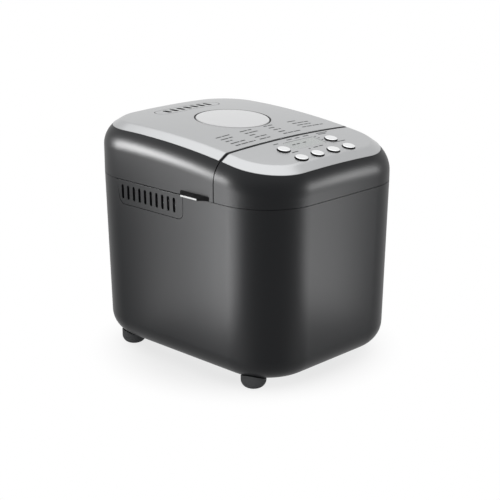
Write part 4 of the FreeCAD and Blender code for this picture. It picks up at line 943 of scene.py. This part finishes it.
# %% [markdown]
# The panel and the lid carry printed lists, drawn here as plain bars of the same length. They could be
# painted by a material, but a thin raised ink, a twentieth of a millimetre thick, follows the arc of the
# top and stays sharp in the mesh.

# %% Printed marks
INK_HEIGHT, INK_SINK = 0.05 * MM, 0.02 * MM
LINE_HEIGHT, PANEL_LINE_HEIGHT = 2.3 * MM, 1.8 * MM
# in millimetres: the lists' left ends, their rows, the words' lengths, and each row's whole length
LIST_STARTS = (-80, -39.5, 2, 45)
LIST_ROWS = (-29.5, -38, -46, -54.5, -62.5)
WORD_LENGTHS = (9, 12, 6, 14, 8, 11, 7)
WORD_GAP, SHORTEST_WORD = 1.5, 2
LIST_LENGTHS = ((23, 23, 11, 26, 33), (23, 25, 9, 20, 18), (15, 10, 13, 14, 30), (17, 31, 25, 42))
# in millimetres: left end, place from front to back, and length of each mark beside the buttons and in the display
PANEL_MARKS = ((-40.5, -85.3, 8.5), (40.5, -81, 20), (40.5, -84.6, 14), (-39.7, -114.6, 10.5),
               (40.7, -113.2, 16.5), (-13.5, -81.8, 9.5), (1, -81.8, 8), (16, -81.2, 10), (-11, -114.9, 3),
               (-2.5, -114.7, 8), (8, -114.3, 7), (29.3, -88, 3), (29.3, -94, 3), (29.3, -100, 3),
               (29.3, -106, 3), (-20, -97, 5), (-12, -97, 5), (-1, -97, 5))


def bar(x, y, length, height=LINE_HEIGHT):
    """Flat printed bar on the top, from x to the right."""
    spot = on_top(y, PLATE_PROUD + INK_HEIGHT / 2 - INK_SINK, x + length / 2)
    piece = start("bar", bpy.ops.mesh.primitive_cube_add, size=1, **spot)
    edit(piece)
    bpy.ops.transform.resize(value=(length, height, INK_HEIGHT), orient_type="LOCAL")
    leave()
    return drape(piece, y)


marks = []
for group, (left, lengths) in enumerate(zip(LIST_STARTS, LIST_LENGTHS)):
    for row, (y, total) in enumerate(zip(LIST_ROWS, lengths)):
        x = left * MM
        word = group + row
        while total > SHORTEST_WORD:
            length = min(WORD_LENGTHS[word % len(WORD_LENGTHS)], total)
            marks.append(bar(x, y * MM, length * MM))
            x += (length + WORD_GAP) * MM
            total -= length + WORD_GAP
            word += 1
lid_marks = join(marks, "lid_print")
dress(lid_marks, ink, "lid", "dark_trim")
panel_bars = [bar(x * MM, y * MM, length * MM, PANEL_LINE_HEIGHT) for x, y, length in PANEL_MARKS]
panel_marks = join(panel_bars, "panel_print")
dress(panel_marks, ink, "casing", "dark_trim")

# %% [markdown]
# Everything else that shows when the lid is open, or when the base is off, keeps the shape of the working
# model. It could be modelled again, but the solids already have the shapes that show, so it only needs the
# finish of its slot.

# %% Finishes of the working pieces
slot_material = {
    "graphite_shell": graphite, "silver_plate": silver, "dark_trim": dark_plastic, "feet_rubber": rubber,
    "chrome": chrome, "window_frost": frost, "window_frame": dark_plastic, "display_dark": display_glass,
    "clear_glass": clear_glass, "seal_rubber": silicone, "zinc_steel": zinc, "steel_pin": ground_steel,
    "heater_steel": heater_sheath, "pan_coat": pan_coat, "bronze": bronze, "drive_metal": cast_aluminium,
    "belt_rubber": belt_rubber, "motor_steel": motor_iron, "circuit_board": circuit_board,
    "components": component_case,
}
for entry in frame["record"]["subparts"]:
    node = nodes[entry["node"]]
    node.data.materials.clear()
    node.data.materials.append(slot_material[entry["material_slot"]])
print("working pieces with a finish:", len(nodes))

# %% [markdown]
# The set is plain: a pale floor, a white background and soft lamps. More light could make the floor white,
# but it would bleach the machine too. So floor and background are white only where the camera, a glossy
# surface or glass looks at them, and the floor keeps its own shading near the machine, so the shadow stays.

# %% Floor and background
WORLD_LEVEL = 0.3
FLOOR_RADIUS = 6.0
SHADED_RADIUS = 0.12
WHITE_RADIUS = 0.21
SHADED_SHARE = 0.75


def seen(tree):
    """1 for rays from the camera, from gloss and through glass, and 0 for the rest."""
    path = add(tree, "ShaderNodeLightPath")
    either = add(tree, "ShaderNodeMath", {0: path.outputs["Is Camera Ray"], 1: path.outputs["Is Glossy Ray"]},
                 operation="MAXIMUM")
    return add(tree, "ShaderNodeMath", {0: either.outputs[0], 1: path.outputs["Is Transmission Ray"]},
               operation="MAXIMUM").outputs[0]


world = bpy.data.worlds.new("white_room")
scene.world = world
world.use_nodes = True
level = add(world.node_tree, "ShaderNodeMapRange", {"Value": seen(world.node_tree), "To Min": WORLD_LEVEL})
background = world.node_tree.nodes["Background"]
background.inputs["Color"].default_value = (1, 1, 1, 1)
world.node_tree.links.new(level.outputs["Result"], background.inputs["Strength"])

floor = start("floor", bpy.ops.mesh.primitive_circle_add, vertices=96, radius=FLOOR_RADIUS, fill_type="NGON")
paper = surface("floor_paper", "#f0f0f0", "#f4f4f4", 4.0, (0.8, 0.9), specular_ior_level=0.0)
tree = paper.node_tree
place = add(tree, "ShaderNodeTexCoord")
away = add(tree, "ShaderNodeVectorMath", {0: place.outputs["Object"]}, operation="LENGTH")
fade = add(tree, "ShaderNodeMapRange", {"Value": away.outputs["Value"], "From Min": SHADED_RADIUS,
                                        "From Max": WHITE_RADIUS, "To Min": SHADED_SHARE},
           interpolation_type="SMOOTHSTEP")
share = add(tree, "ShaderNodeMath", {0: fade.outputs["Result"], 1: seen(tree)}, operation="MULTIPLY")
glow = add(tree, "ShaderNodeEmission", {"Color": (1, 1, 1, 1), "Strength": 1.0})
blend = add(tree, "ShaderNodeMixShader", {"Fac": share.outputs[0], 1: tree.nodes["Principled BSDF"].outputs["BSDF"],
                                          2: glow.outputs["Emission"]})
tree.links.new(blend.outputs["Shader"], tree.nodes["Material Output"].inputs["Surface"])
floor.data.materials.append(paper)
print("floor:", FLOOR_RADIUS, "m in radius, shaded to", SHADED_RADIUS, "m from its middle")

# %% [markdown]
# A wide lamp overhead lights everything. Beside the left and the front face stand cards that only gloss can
# see, and only the painted shells are linked to them, as receivers and as what casts their shadows. A
# narrow spread aims each card at the camera's mirror image in its face, so the dark paint shows a soft
# sheen there. Plain lamps in the same places would also glare in the metal and bleach the silhouettes in
# other views.

# %% Lamps
TOP_PLACE, TOP_AIM, TOP_SIZE, TOP_POWER = (-0.2, 0.1, 1.7), (0, 0, 0.2), (3, 3), 24
CARD_AWAY = 0.2
CARD_SPREAD = math.radians(80)
FACE_SPAN, SHOULDER_SPAN = (-0.16, 0.26), (0.27, 0.36)
SHOULDER_LIFT = 0.48
LEFT, FRONT, UP = Vector((-1, 0, 0)), Vector((0, -1, 0)), Vector((0, 0, 1))
TO_CAMERA = camera.location.normalized()
# name, side of the machine, upward lean of the face, place along it, width, lowest and highest edge, power
CARDS = (("left_card", LEFT, 0, 0, 0.18, FACE_SPAN, 0.6),
         ("left_wide_card", LEFT, 0, 0.06, 0.28, FACE_SPAN, 0.46),
         ("front_card", FRONT, 0, 0.12, 0.18, FACE_SPAN, 0.46),
         ("left_shoulder_card", LEFT, SHOULDER_LIFT, 0.2, 0.21, SHOULDER_SPAN, 1.1),
         ("front_shoulder_card", FRONT, SHOULDER_LIFT, 0.22, 0.14, SHOULDER_SPAN, 0.26))


def softbox(name, place, aim, size, power):
    """Rectangular lamp that faces a point."""
    bpy.ops.object.select_all(action="DESELECT")
    turn = (Vector(place) - Vector(aim)).to_track_quat("Z", "Y").to_euler()
    bpy.ops.object.light_add(type="AREA", location=place, rotation=turn)
    lamp = bpy.context.active_object
    lamp.name = name
    lamp.data.shape = "RECTANGLE"
    lamp.data.size, lamp.data.size_y = size
    lamp.data.energy = power
    return lamp


softbox("top_light", TOP_PLACE, TOP_AIM, TOP_SIZE, TOP_POWER)
painted = bpy.data.collections.new("painted_shells")
for piece in scene.objects:
    if piece.type == "MESH" and graphite.name in piece.data.materials:
        painted.objects.link(piece)
for name, side, lift, along, width, (low, high), power in CARDS:
    face = (WIDTH if side.x else DEPTH) / 2
    level = Vector((abs(side.y) * along, abs(side.x) * along, (low + high) / 2))
    place = level + side * (face + CARD_AWAY)
    aim = place + TO_CAMERA.reflect((side + lift * UP).normalized())
    card = softbox(name, place, aim, (width, high - low), power)
    card.data.spread = CARD_SPREAD
    card.visible_diffuse = False
    card.light_linking.receiver_collection = card.light_linking.blocker_collection = painted
scene.view_settings.view_transform = "Standard"
